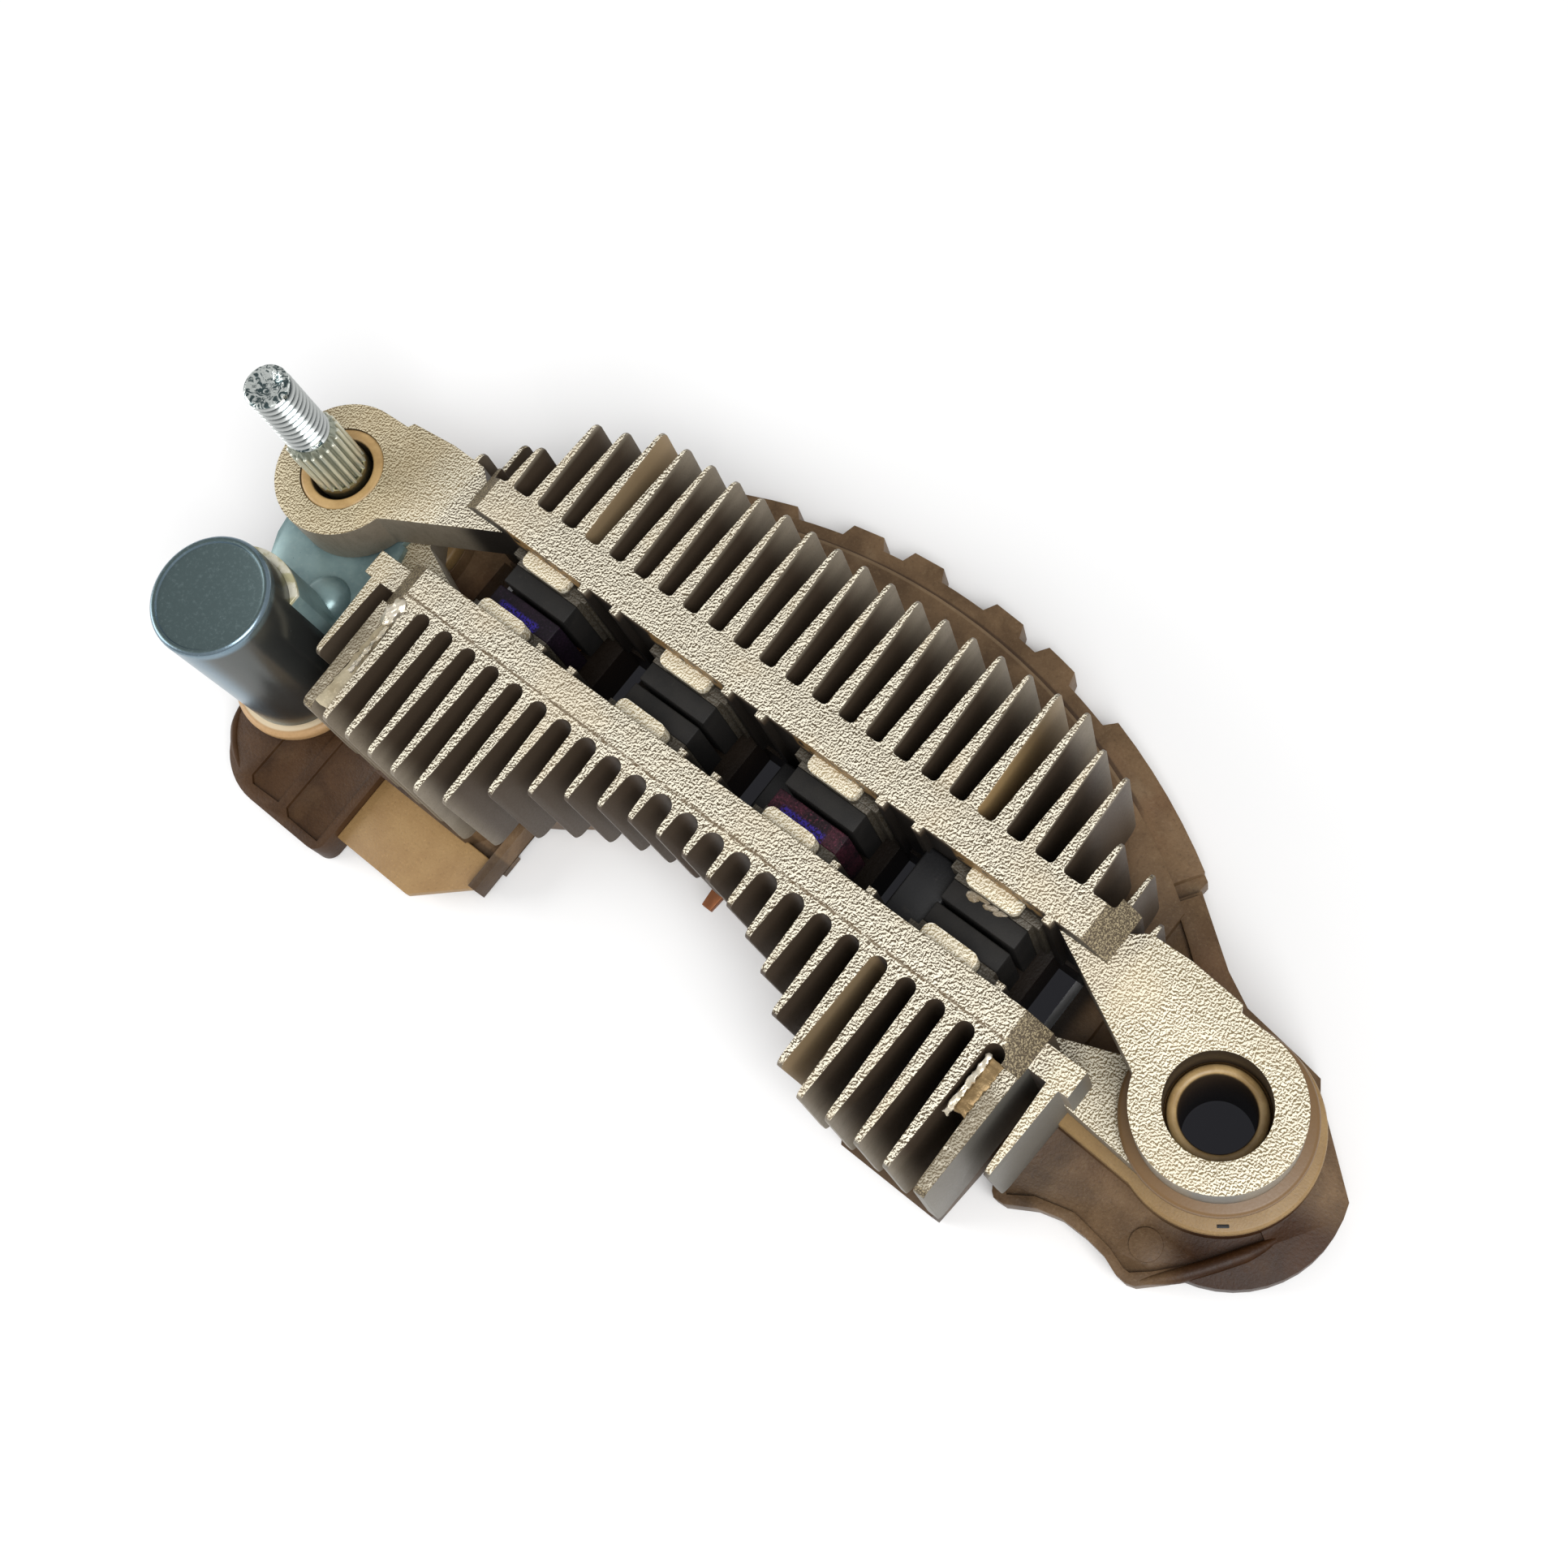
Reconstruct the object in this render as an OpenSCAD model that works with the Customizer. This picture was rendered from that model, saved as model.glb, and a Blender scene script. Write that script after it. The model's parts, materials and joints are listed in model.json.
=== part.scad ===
// Rectifier of a car alternator. Two finned heatsinks hold eight diodes between them, over a
// moulded frame with the phase leads, a suppression capacitor and the output stud.
// X runs along the line of the two bolts, Y points away from the shaft, Z is up from the seat.

/* [Stack at the bolts] */
// Distance between the two bolt axes
bolt_pitch = 112; // [110:0.5:114]
// Height of the outer heatsink's ears above the seat
ear_top = 20; // [19.5:0.25:22]
// Thickness of the outer heatsink's ears and arms
ear_t = 5.8; // [4.5:0.1:6.2]
// Radius of the outer heatsink's ears
ear_r = 7.75; // [7.25:0.05:8.5]
// Radius of the holes in the ears
ear_hole_r = 4.8; // [4.7:0.05:5.2]
// Thickness of the flange between the ears
flange_t = 1.7; // [1.5:0.1:2.2]
// Radius of the flange between the ears
flange_r = 8.9; // [8.3:0.1:9.3]
// Thickness of the inner heatsink's ears and arms
inner_ear_t = 4.5; // [4:0.1:4.8]
// Radius of the inner heatsink's ears
inner_ear_r = 8.4; // [8:0.1:8.8]
// Thickness of the insulating plates under the inner ears
plate_t = 2; // [1.6:0.1:2.1]
// How far the insulating plates stand out past the inner ears
plate_margin = 1.4; // [0.8:0.1:1.8]

/* [Bushes and stud] */
// Radius of the bolt bore in the bush
bore_r = 3.5; // [3.4:0.05:3.6]
// Wall thickness of the bolt bush
bush_wall = 1.05; // [0.9:0.05:1.1]
// Depth of the bolt bush's end below the ear's top face
bush_recess = 1.3; // [0.5:0.1:2]
// Radius of the hole in the stud's bush
stud_hole_r = 3.5; // [3.4:0.05:3.8]
// Radius of the output stud's thread
stud_r = 2.5; // [2.3:0.05:2.6]
// Length of the output stud's thread
thread_len = 9.8; // [8:0.2:14]
// Height of the stud's splines above the ear's top face
spline_above = 8; // [5:0.5:10]
// Radius over the splines
spline_r = 3; // [2.9:0.05:3.2]
// Number of splines
spline_count = 20; // [12:1:26]
// Radius of the stud's head
stud_head_r = 5.2; // [5:0.1:5.8]
// Thickness of the stud's head
stud_head_t = 2.6; // [2.1:0.1:3]

/* [Fins] */
// Distance from one fin to the next
fin_pitch = 3.325; // [3.25:0.005:3.4]
// Thickness of the outer fins' tips
outer_tip_t = 0.35; // [0.3:0.05:0.7]
// Thickness that an outer fin gains for each millimetre towards its root
outer_taper = 0.078; // [0.05:0.002:0.08]
// Thickness of the inner fins' tips
inner_tip_t = 0.6; // [0.5:0.05:0.8]
// Thickness that an inner fin gains for each millimetre towards its root
inner_taper = 0.057; // [0.04:0.001:0.06]
// Height of the outer heatsink's fins and rail
fin_h = 16; // [15:0.25:16.25]
// Radius of the fins' upper outer corners
fin_corner_r = 1; // [0.6:0.1:2]
// Fillet in the corners of the outer slots' roots
slot_fillet = 0.5; // [0.3:0.05:0.8]
// Radius of the fins' lower outer corners
fin_foot_r = 1.2; // [0.6:0.2:2]

/* [Outer heatsink] */
// Width of the gap between the two rails
rail_gap = 7.9; // [7.7:0.1:9]
// Rise of the outer rail above the ears
outer_rise = 2.7; // [2.3:0.1:3.2]
// Thickness of the outer rail from its wall to the roots of the slots
outer_rail_t = 4; // [3.6:0.1:4.4]
// Half the length of the rails' flat tops
rail_half = 38.3; // [38:0.1:38.8]
// Length of the ramps at the ends of the rails
ramp_len = 2.7; // [2.2:0.1:3]
// Length of the full outer fins
outer_fin_len = 13.75; // [12.5:0.05:14]
// Lengths of the shorter fins at each end, from the inside out
outer_end_fins = [11.7, 10.7, 5.4];
// Lengths of the two low fins that stand on each arm
arm_fins = [4.6, 1.9];
// Sideways shift of the outer row of fins
outer_shift = -0.5; // [-0.7:0.1:-0.3]

/* [Inner heatsink] */
// Distance of the inner rail's wall from the bolt line
inner_wall_y = 3.4; // [3.2:0.1:3.7]
// Rise of the inner rail above the outer ears
inner_rise = 2.3; // [2:0.1:2.6]
// Thickness of the inner rail from its wall to the roots of the slots
inner_rail_t = 3.9; // [3.6:0.1:4.3]
// Width of the raised strip along the inner rail
strip_w = 3.3; // [2.6:0.1:3.5]
// Distance from the even row to the last slot at each end
thick_pitch = 3.8; // [3.7:0.05:4]
// Length of the full inner fins
inner_fin_len = 14; // [13:0.1:14.4]
// Length of the last fin at each end
inner_end_len = 9.8; // [9:0.2:12]
// Half the length of the inner heatsink over its end blocks
block_half = 45.4; // [45:0.1:46]

/* [Diodes] */
// Distance between the diode pairs
pair_pitch = 19.2; // [18.9:0.1:19.4]
// Width of a diode's body along the rail
body_w = 8.6; // [8:0.1:9]
// Thickness of a diode's body
body_t = 2.2; // [2:0.1:2.3]
// Height of a diode's body
body_h = 9.5; // [9:0.25:10.5]
// Depth of the bodies' tops below the ears' top faces
body_drop = 2; // [1.6:0.1:2.5]
// Thickness of the metal base soldered to the rail
base_t = 1.5; // [1.3:0.1:1.6]
// Width of the base's raised tab
tab_w = 6; // [5:0.2:7]
// Height of the outer diodes' tabs above the bodies
outer_tab_h = 2; // [1:0.25:3]
// Height of the inner diodes' tabs above the bodies
inner_tab_h = 3; // [1:0.25:3.5]

/* [Frame] */
// Distance of the shaft's axis from the bolt line
shaft_y = 39.4; // [39:0.1:39.8]
// Sideways offset of the shaft's axis
shaft_x = 1.8; // [1.4:0.1:2.2]
// Clearance radius round the bearing boss
boss_r = 28.4; // [28:0.1:29]
// Outer radius of the rim's tabs
tab_rim_r = 70.8; // [70.4:0.1:71.2]
// Depth of the notches between the tabs
notch_d = 1.4; // [1:0.1:1.8]
// Thickness of the frame's rim and lobes
rim_t = 4; // [3.6:0.1:4.2]
// Gap between the frame's deck and the heatsinks
deck_gap = 1.2; // [1:0.1:1.5]
// Width of the frame's windows along the diodes
window_w = 4; // [3:0.1:4.2]
// Radius of the frame's lobe round a bolt
lobe_r = 11.35; // [11:0.05:11.8]
// Depth of the shallow pockets in the lobes
pocket_d = 0.5; // [0.3:0.05:0.8]
// Rise of the bar along the rim beside the right bolt
bar_rise = 0.8; // [0.4:0.1:1.2]

/* [Capacitor] */
// Place of the can's axis
can_pos = [-52.4, -19.4];
// Radius of the can
can_r = 6.7; // [6.5:0.05:6.9]
// Length of the can
can_len = 20.9; // [19:0.1:24]
// Radius of the seal under the can
seal_r = 7.9; // [7.6:0.1:8.2]
// Thickness of the seal under the can
seal_t = 1.6; // [1.4:0.1:2.4]
// Thickness of the steel bracket
bracket_t = 0.9; // [0.8:0.05:1.1]
// Height of the bracket's saddle beside the can
saddle_h = 11; // [8:0.5:12]

/* [Hidden] */
$fn = 64;
eps = 0.01;

// Bolt axes and levels of the stack
bolt_x = bolt_pitch / 2;
flange_z = ear_top - ear_t - flange_t;
inner_ear_z = flange_z - inner_ear_t;
plate_z = inner_ear_z - plate_t;
sink_z = ear_top + outer_rise - fin_h;
deck_z = sink_z - deck_gap;
fit = 0.25;

// Rails and slots
outer_wall_y = rail_gap - inner_wall_y;
outer_root_y = outer_wall_y + outer_rail_t;
inner_root_y = inner_wall_y + inner_rail_t;
rail_end = rail_half + ramp_len;
full_fins = 8;
strip_step = 0.2;
block_wall = 1;
inner_slots = 12;
inner_last = (inner_slots - 0.5) * fin_pitch;
root_band = 1.3;

// Diodes and the ribs beside them
pair_x = [for (i = [0:3]) (i - 1.5) * pair_pitch];
body_z = ear_top - body_drop - body_h;
outer_body_y = outer_wall_y - base_t - body_t;
inner_body_y = base_t - inner_wall_y;
flange_w = 10.2;
flange_rise = 0.5;
rib_w = 0.9;
rib_d = 0.7;
rib_near = flange_w / 2 + 1;
rib_far = rib_near + 4.3;
arm_x = pair_x[3] + flange_w / 2 + 1.8;

// Frame and leads
deck_r = tab_rim_r - 3.4;
arc_gap = 3;
arc_r = boss_r + arc_gap;
deck_half = 41.4;
foot_y = inner_root_y + inner_fin_len + 1.6;
block_left = -37.6;
end_bar = [-21, 1.6];
plate_base = 1.8;
lead_w = 2.4;
lead_t = 0.8;
riser_w = 1.6;

// Solids and curves used by several pieces

module ring(r_out, r_in, h) {
    difference() {
        cylinder(r = r_out, h = h);
        translate([0, 0, -eps]) cylinder(r = r_in, h = h + 2 * eps);
    }
}

module corner_cut(r) {
    difference() {
        square(r + 1);
        circle(r);
    }
}

// Length rounded to a hundredth, so that edges that should meet do so exactly
function even(v) = round(v * 100) / 100;

function arc(c, r, a0, a1, steps) =
    [for (i = [0:steps]) let (a = a0 + (a1 - a0) * i / steps) c + r * [cos(a), sin(a)]];

module mirrored() {
    for (s = [0, 1]) mirror([s, 0, 0]) children();
}

// Fins, each a wedge in plan with rounded outer corners seen from the side

module fin_side(y0, y1, z0, z1) {
    top_r = even(min(fin_corner_r, (y1 - y0) * 0.6));
    foot_r = even(min(fin_foot_r, (y1 - y0) * 0.6));
    difference() {
        translate([y0, z0]) square([y1 - y0, z1 - z0]);
        translate([y1 - top_r, z1 - top_r]) corner_cut(top_r);
        translate([y1 - foot_r, z0 + foot_r]) mirror([0, 1]) corner_cut(foot_r);
    }
}

// Fin between x0 and x1 at its root, with its tip as thick as given
module fin(x0, x1, tip_t, y0, y1, z0, z1) {
    loss = (x1 - x0 - tip_t) / 2;
    intersection() {
        translate([0, 0, z0]) linear_extrude(z1 - z0)
            polygon([[x0, y0], [x1, y0], [x1 - loss, y1], [x0 + loss, y1]]);
        translate([x0, 0, 0]) rotate([90, 0, 90]) linear_extrude(x1 - x0)
            fin_side(y0, y1, z0, z1);
    }
}

// Gap between two fins with a round root at root_y
module round_slot(x, r, root_y) {
    translate([x, root_y + r, sink_z - 1]) {
        cylinder(r = r, h = fin_h + 2);
        translate([-r, 0, 0]) cube([2 * r, root_band, fin_h + 2]);
    }
}

// Gap between two fins with a flat root at root_y and a fillet in each corner
module flat_slot(x, r, root_y) {
    h = fin_h + 2;
    inner = r - slot_fillet;
    translate([x, root_y, sink_z - 1]) {
        for (s = [-1, 1]) translate([s * inner, slot_fillet, 0]) cylinder(r = slot_fillet, h = h);
        translate([-inner, 0, 0]) cube([2 * inner, root_band + 1, h]);
        translate([-r, slot_fillet, 0]) cube([2 * r, root_band + 1, h]);
    }
}

// Rails

module rail(y0, y1, z_top) {
    translate([0, y1, 0]) rotate([90, 0, 0]) linear_extrude(y1 - y0)
        polygon([[-rail_end, sink_z], [rail_end, sink_z], [rail_end, ear_top],
                 [rail_half, z_top], [-rail_half, z_top], [-rail_end, ear_top]]);
}

// Ribs on a rail's wall at y, on the side that the diodes are on
module wall_ribs(y, z_top) {
    for (x = pair_x, dx = [rib_near, rib_far])
        if (x + dx < rail_half)
            translate([x + dx - rib_w / 2, y, sink_z]) cube([rib_w, rib_d, z_top - sink_z]);
}

// Outer heatsink

outer_last = full_fins + len(outer_end_fins);
function outer_len(k) =
    abs(k) <= full_fins ? outer_fin_len : outer_end_fins[min(abs(k), outer_last) - full_fins - 1];
function outer_root(k) = outer_tip_t + outer_taper * outer_len(k);
function outer_slot_x(k) = outer_shift + (k + 0.5) * fin_pitch;
function outer_slot_r(k) = even((fin_pitch - (outer_root(k) + outer_root(k + 1)) / 2) / 2);

module outer_arm_plan() {
    difference() {
        union() {
            polygon([[arm_x, outer_wall_y], [bolt_x - 8.3, -1.6],
                     [bolt_x, -ear_r + 1], [bolt_x, ear_r], [bolt_x - 3, ear_r + 0.1],
                     [bolt_x - 3.4, ear_r + 0.8], [rail_end + 6, outer_root_y + 0.6],
                     [rail_end + 1.5, outer_root_y + 0.5],
                     [rail_end - 0.5, outer_root_y - 1], [arm_x, outer_root_y - 1]]);
            translate([bolt_x, 0]) circle(ear_r);
        }
        translate([bolt_x, 0]) circle(ear_hole_r);
    }
}

module outer_heatsink() {
    z_top = ear_top + outer_rise;
    left = function (k) outer_slot_x(k - 1) + outer_slot_r(k - 1);
    right = function (k) outer_slot_x(k) - outer_slot_r(k);
    color([0.8, 0.76, 0.65]) {
        difference() {
            rail(outer_wall_y, outer_root_y + root_band, z_top);
            for (k = [-outer_last - 1:outer_last])
                flat_slot(outer_slot_x(k), outer_slot_r(k), outer_root_y);
        }
        for (k = [-outer_last:outer_last])
            fin(left(k), right(k), outer_tip_t, outer_root_y + root_band,
                outer_root_y + outer_len(k), sink_z, z_top);
        mirror([0, 1, 0]) wall_ribs(-outer_wall_y, z_top);
        mirrored() translate([0, 0, ear_top - ear_t]) linear_extrude(ear_t) outer_arm_plan();
        for (s = [-1, 1], n = [0, 1]) {
            k = s * (outer_last + 1 + n);
            fin(left(k), right(k), outer_tip_t, outer_root_y - 1, outer_root_y + arm_fins[n],
                ear_top - 1.4 * ear_t, ear_top);
        }
    }
}

// Inner heatsink

function boss_limit(x) = shaft_y - sqrt(boss_r ^ 2 - min(abs(x - shaft_x), boss_r) ^ 2);

module inner_arm_plan() {
    difference() {
        union() {
            polygon([[rail_half, -inner_wall_y], [bolt_x - 10, -0.4],
                     [bolt_x - 5, inner_ear_r - 1.6], [bolt_x, inner_ear_r],
                     [bolt_x, -inner_ear_r], [block_half - 2, -inner_root_y],
                     [rail_half, -inner_root_y]]);
            translate([bolt_x, 0]) circle(inner_ear_r);
        }
        translate([bolt_x, 0]) circle(ear_hole_r);
    }
}

function inner_len(k) = even(min(inner_fin_len, boss_limit(k * fin_pitch) - inner_root_y));
function inner_root(k) = even(inner_tip_t + inner_taper * inner_len(k));
function inner_slot_r(k) = even((fin_pitch - (inner_root(k) + inner_root(k + 1)) / 2) / 2);

module inner_fins(z_top) {
    y0 = inner_root_y + root_band;
    for (k = [1 - inner_slots:inner_slots - 1]) {
        x = k * fin_pitch;
        fin(x - fin_pitch / 2 + inner_slot_r(k - 1), x + fin_pitch / 2 - inner_slot_r(k),
            inner_tip_t, y0, inner_root_y + inner_len(k), sink_z, z_top);
    }
    mirrored() {
        r = inner_slot_r(inner_slots);
        last = inner_last + thick_pitch;
        fin(inner_last + r, rail_end, 2 * inner_tip_t, y0, inner_root_y + inner_fin_len,
            sink_z, z_top - 1.4);
        fin(last + r, last + r + inner_root(inner_slots), inner_tip_t, inner_root_y - 1,
            inner_root_y + inner_end_len, sink_z, ear_top);
    }
}

module inner_heatsink() {
    z_top = ear_top + inner_rise;
    color([0.79, 0.74, 0.63]) {
        difference() {
            union() {
                rail(-inner_root_y - root_band, -inner_wall_y, z_top);
                mirrored() translate([rail_end - 1, -inner_root_y, inner_ear_z])
                    cube([block_half - rail_end + 1, inner_rail_t - block_wall,
                          ear_top - inner_ear_z]);
            }
            translate([-rail_end, -inner_root_y - 2 * root_band, z_top - strip_step])
                cube([2 * rail_end, inner_rail_t - strip_w + 2 * root_band, 1]);
            mirror([0, 1, 0]) for (k = [-inner_slots:inner_slots - 1])
                round_slot((k + 0.5) * fin_pitch, inner_slot_r(k), inner_root_y);
        }
        mirror([0, 1, 0]) inner_fins(z_top - strip_step);
        wall_ribs(-inner_wall_y, z_top - 0.6);
        mirrored() translate([0, 0, inner_ear_z]) linear_extrude(inner_ear_t) inner_arm_plan();
    }
}

// Insulators

// Long bush that carries the bolt through the whole stack, with the flange between the ears
module bolt_bush() {
    color([0.78, 0.65, 0.41]) translate([bolt_x, 0, 0]) {
        ring(bore_r + bush_wall, bore_r, ear_top - bush_recess);
        translate([0, 0, flange_z]) ring(flange_r, bore_r + bush_wall / 2, flange_t);
    }
}

// Short bush that fills the left ear round the stud, with its flange on the bracket
module stud_bush() {
    z = flange_z + bracket_t;
    color([0.78, 0.65, 0.41]) translate([-bolt_x, 0, z]) {
        ring(ear_hole_r, stud_hole_r, ear_top - z);
        ring(ear_r - 0.7, stud_hole_r, ear_top - ear_t - z);
    }
}

// Straight part of an insulating plate, from the rail's end to the bolt
module plate_foot() {
    edge_r = inner_ear_r + plate_margin;
    polygon([[rail_end + 1, -inner_root_y - plate_margin], [bolt_x - 3, -edge_r + 0.6],
             [bolt_x, 0], [rail_end + 1, -inner_wall_y]]);
}

module insulating_plate(hole_r) {
    edge_r = inner_ear_r + plate_margin;
    translate([0, 0, plate_z]) difference() {
        union() {
            translate([bolt_x, 0, 0]) cylinder(r = edge_r, h = plate_t);
            linear_extrude(plate_t) plate_foot();
        }
        translate([bolt_x, 0, -1]) cylinder(r = hole_r, h = plate_t + 2);
    }
}

module right_insulating_plate() {
    color([0.74, 0.6, 0.4]) insulating_plate(bore_r + bush_wall);
}

module left_insulating_plate() {
    color([0.74, 0.6, 0.4]) mirror([1, 0, 0]) insulating_plate(stud_head_r);
}

// Output stud, pressed into the left inner ear with its head below

module spline_plan() {
    depth = 0.3;
    polygon([for (i = [0:spline_count - 1], e = [[-0.28, 0], [-0.16, 1], [0.16, 1], [0.28, 0]])
        let (r = spline_r - depth * (1 - e[1]), a = (i + e[0]) * 360 / spline_count)
        r * [cos(a), sin(a)]]);
}

module output_stud() {
    spline_top = ear_top + spline_above;
    tip = 0.8;
    color([0.75, 0.77, 0.78]) translate([-bolt_x, 0, 0]) {
        translate([0, 0, inner_ear_z - stud_head_t]) cylinder(r = stud_head_r, h = stud_head_t);
        translate([0, 0, inner_ear_z - eps]) cylinder(r = ear_hole_r, h = inner_ear_t + eps);
        translate([0, 0, flange_z - eps]) cylinder(r = stud_r, h = spline_top - flange_z);
        translate([0, 0, flange_z - eps]) linear_extrude(spline_top - 0.8 - flange_z)
            spline_plan();
        translate([0, 0, spline_top - eps]) cylinder(r = stud_r, h = thread_len - tip + 2 * eps);
        translate([0, 0, spline_top + thread_len - tip])
            cylinder(r1 = stud_r, r2 = stud_r - tip, h = tip);
    }
}

// Diodes, each a moulded body on a metal base that is soldered to its rail

module diode_body(i, y) {
    translate([pair_x[i] - body_w / 2, y, body_z]) cube([body_w, body_t, body_h]);
}

// Base with its back on the rail's wall at y = 0, its front towards +Y
module diode_base(tab_h) {
    corner = 0.8;
    translate([-body_w / 2, 0, 0]) cube([body_w, base_t, body_h]);
    translate([-flange_w / 2, 0, 0]) cube([flange_w, 0.6 * base_t, body_h + flange_rise]);
    linear_extrude(body_h + tab_h) {
        translate([-tab_w / 2, 0]) square([tab_w, base_t - corner]);
        translate([corner - tab_w / 2, 0]) square([tab_w - 2 * corner, base_t]);
        for (s = [-1, 1]) translate([s * (tab_w / 2 - corner), base_t - corner]) circle(corner);
    }
}

module outer_diode(i) {
    color([0.2, 0.21, 0.2]) diode_body(i, outer_body_y);
}

module inner_diode(i) {
    color([0.17, 0.17, 0.18]) diode_body(i, inner_body_y);
}

module outer_diode_base(i) {
    color([0.82, 0.78, 0.66]) translate([pair_x[i], outer_wall_y, body_z]) mirror([0, 1, 0])
        diode_base(outer_tab_h);
}

module inner_diode_base(i) {
    color([0.82, 0.78, 0.66]) translate([pair_x[i], -inner_wall_y, body_z])
        diode_base(inner_tab_h);
}

// Phase leads, let into the deck, each with two risers to the bodies of its pair.
// The third one runs aside and reaches past the fins as a hook for the winding's wire.

hook = 2;
hook_x = -7.3;
hook_reach = 1.7;
lead_end = 0.6;

module lead_plan(i) {
    x = pair_x[i];
    end_x = i == hook ? x + hook_x : x;
    end_y = i == hook ? -boss_limit(end_x) - hook_reach : -inner_root_y - lead_end;
    half = lead_w / 2;
    tip = i == hook ? half / 2 : half;
    translate([x - half, -inner_wall_y]) square([lead_w, rail_gap - 0.5]);
    polygon([[x - half, 1 - inner_wall_y], [x + half, 1 - inner_wall_y],
             [x + half, -inner_wall_y], [end_x + half, -inner_wall_y - lead_w],
             [end_x + tip, end_y], [end_x - tip, end_y],
             [end_x - half, -inner_wall_y - lead_w], [x - half, -inner_wall_y]]);
}

module phase_lead(i) {
    color([0.72, 0.45, 0.28]) {
        translate([0, 0, deck_z - lead_t]) linear_extrude(lead_t) lead_plan(i);
        for (y = [outer_body_y, inner_body_y])
            translate([pair_x[i] - riser_w / 2, y + (body_t - lead_t) / 2, deck_z - eps])
                cube([riser_w, lead_t, body_z - deck_z + eps]);
    }
}

// Black mouldings over the ends of two leads, beside the third and the fourth pair

cover_w = [3.7, 4.4];
cover_side_gap = [1, 0];
cover_share = [0.37, 0.79];

module lead_cover(i) {
    x = pair_x[i + 2] - body_w / 2;
    top = body_z + cover_share[i] * body_h;
    color([0.12, 0.12, 0.13])
        translate([x - cover_w[i], cover_side_gap[i] - inner_wall_y, deck_z])
        cube([cover_w[i], rail_gap - 2 * cover_side_gap[i], top - deck_z]);
}

// Terminal frame

// Frame's lobe round the right bolt, from the rim at its top round to the arc at its foot
module lobe_plan(side) {
    c = [bolt_x + 2.4, -2];
    rim = function (x) [x, sqrt((tab_rim_r - 1) ^ 2 - (side * x - shaft_x) ^ 2) - shaft_y];
    polygon(concat([rim(38), rim(41.4), [bolt_x - 8.1, 13.2], [bolt_x - 4.6, 11.3],
                    [bolt_x + 1.9, 10.3], [bolt_x + 4.6, 9.8], [bolt_x + 5.4, 8.6]],
                   arc(c, lobe_r, 20, -76, 12),
                   [[bolt_x + 4.4, -14], [bolt_x + 2.2, -16.2], [bolt_x + 1.3, -16.5],
                    [bolt_x + 0.1, -16.4], [bolt_x - 1.7, -15.7], [bolt_x - 4, -15.4],
                    [bolt_x - 6.8, -15.4], [bolt_x - 9.2, -16.1], [bolt_x - 11.9, -17.7],
                    [bolt_x - 13, -17.8], [bolt_x - 13.5, -17.4], [bolt_x - 15.5, -14]]));
}

// Shallow pocket of the right lobe, inside the bead along its front
module right_pocket_plan() {
    polygon([[bolt_x - 13, -15.8], [bolt_x - 12.2, -16.8], [bolt_x - 10, -15.3],
             [bolt_x - 6.1, -14.2], [bolt_x - 1.6, -14.8], [bolt_x + 0.4, -15.5],
             [bolt_x + 1.1, -15.5], [bolt_x + 2.7, -14.1], [bolt_x + 5.7, -10.7],
             [bolt_x + 8.8, -6.9], [bolt_x + 9.3, -5.7], [bolt_x, 0], [bolt_x - 13, -6]]);
}

// Two shallow pockets of the left lobe, with a rib between them
module left_pocket_plan() {
    polygon([can_pos + [2.1, -7], can_pos + [2, -12.3], can_pos + [2.8, -13],
             can_pos + [6.9, -12.8], can_pos + [7, -3]]);
    polygon([can_pos + [8.2, -3], can_pos + [8.1, -12.7], can_pos + [9, -13.4],
             can_pos + [13.8, -13.4], can_pos + [13.8, -3]]);
}

// Lobe under the capacitor, with a rounded corner at the front
module capacitor_lobe_plan() {
    r = 8.5;
    c = can_pos + [3.9, -6];
    corner = 1.6;
    size = [block_left - c[0], 19];
    translate(c) circle(r);
    translate([c[0], c[1] - r]) square(size - [corner, 0]);
    translate([c[0], c[1] - r + corner]) square(size - [0, corner]);
    translate([block_left - corner, c[1] - r + corner]) circle(corner);
    translate(can_pos) circle(seal_r + 0.9);
}

// Middle of the frame, under the heatsinks
module deck_plan() {
    slant = 3.4;
    intersection() {
        translate([shaft_x, -shaft_y]) circle(r = tab_rim_r - notch_d, $fn = 180);
        polygon([[-deck_half, tab_rim_r], [deck_half, tab_rim_r], [deck_half, 0],
                 [deck_half - slant / 2, -foot_y], [slant - deck_half, -foot_y],
                 [-deck_half, 0]]);
    }
}

module frame_plan() {
    deck_plan();
    lobe_plan(1);
    mirror([1, 0]) lobe_plan(-1);
    capacitor_lobe_plan();
}

// Outline of the tan plate, drawn back at its front by the given distance
module plate_plan(back = 0) {
    bar_x = end_bar[0];
    polygon([[block_left, -22.6], [block_left, -31.1 + back], [bar_x - 5.6, -31.1 + back],
             [bar_x, -26.2 + back], [bar_x, -22.6]]);
}

// Tab on the rim between two angles from the Y axis
module rim_tab(a0, a1) {
    slope = 0.9;
    r0 = tab_rim_r - 1.5 * notch_d;
    at = function (r, a) [shaft_x, -shaft_y] + r * [sin(a), cos(a)];
    steps = ceil((a1 - a0) / 3);
    polygon(concat([at(deck_r, a0 - slope), at(r0, a0 - slope)],
                   [for (i = [0:steps]) at(tab_rim_r, a0 + (a1 - a0) * i / steps)],
                   [at(r0, a1 + slope), at(deck_r, a1 + slope)]));
}

// Airflow windows under the fins and small ones between the diodes
module frame_windows() {
    for (k = [-2:1]) translate([k * 13 + 1.5, outer_wall_y + 5.5]) square([10, 10]);
    for (s = [0, 1]) mirror([s, 0]) translate([25.5, -20]) square([10, 11]);
    for (k = [-2:2]) translate([k * pair_pitch - window_w - 0.5, -2]) square([window_w, 6.3]);
}

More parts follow.
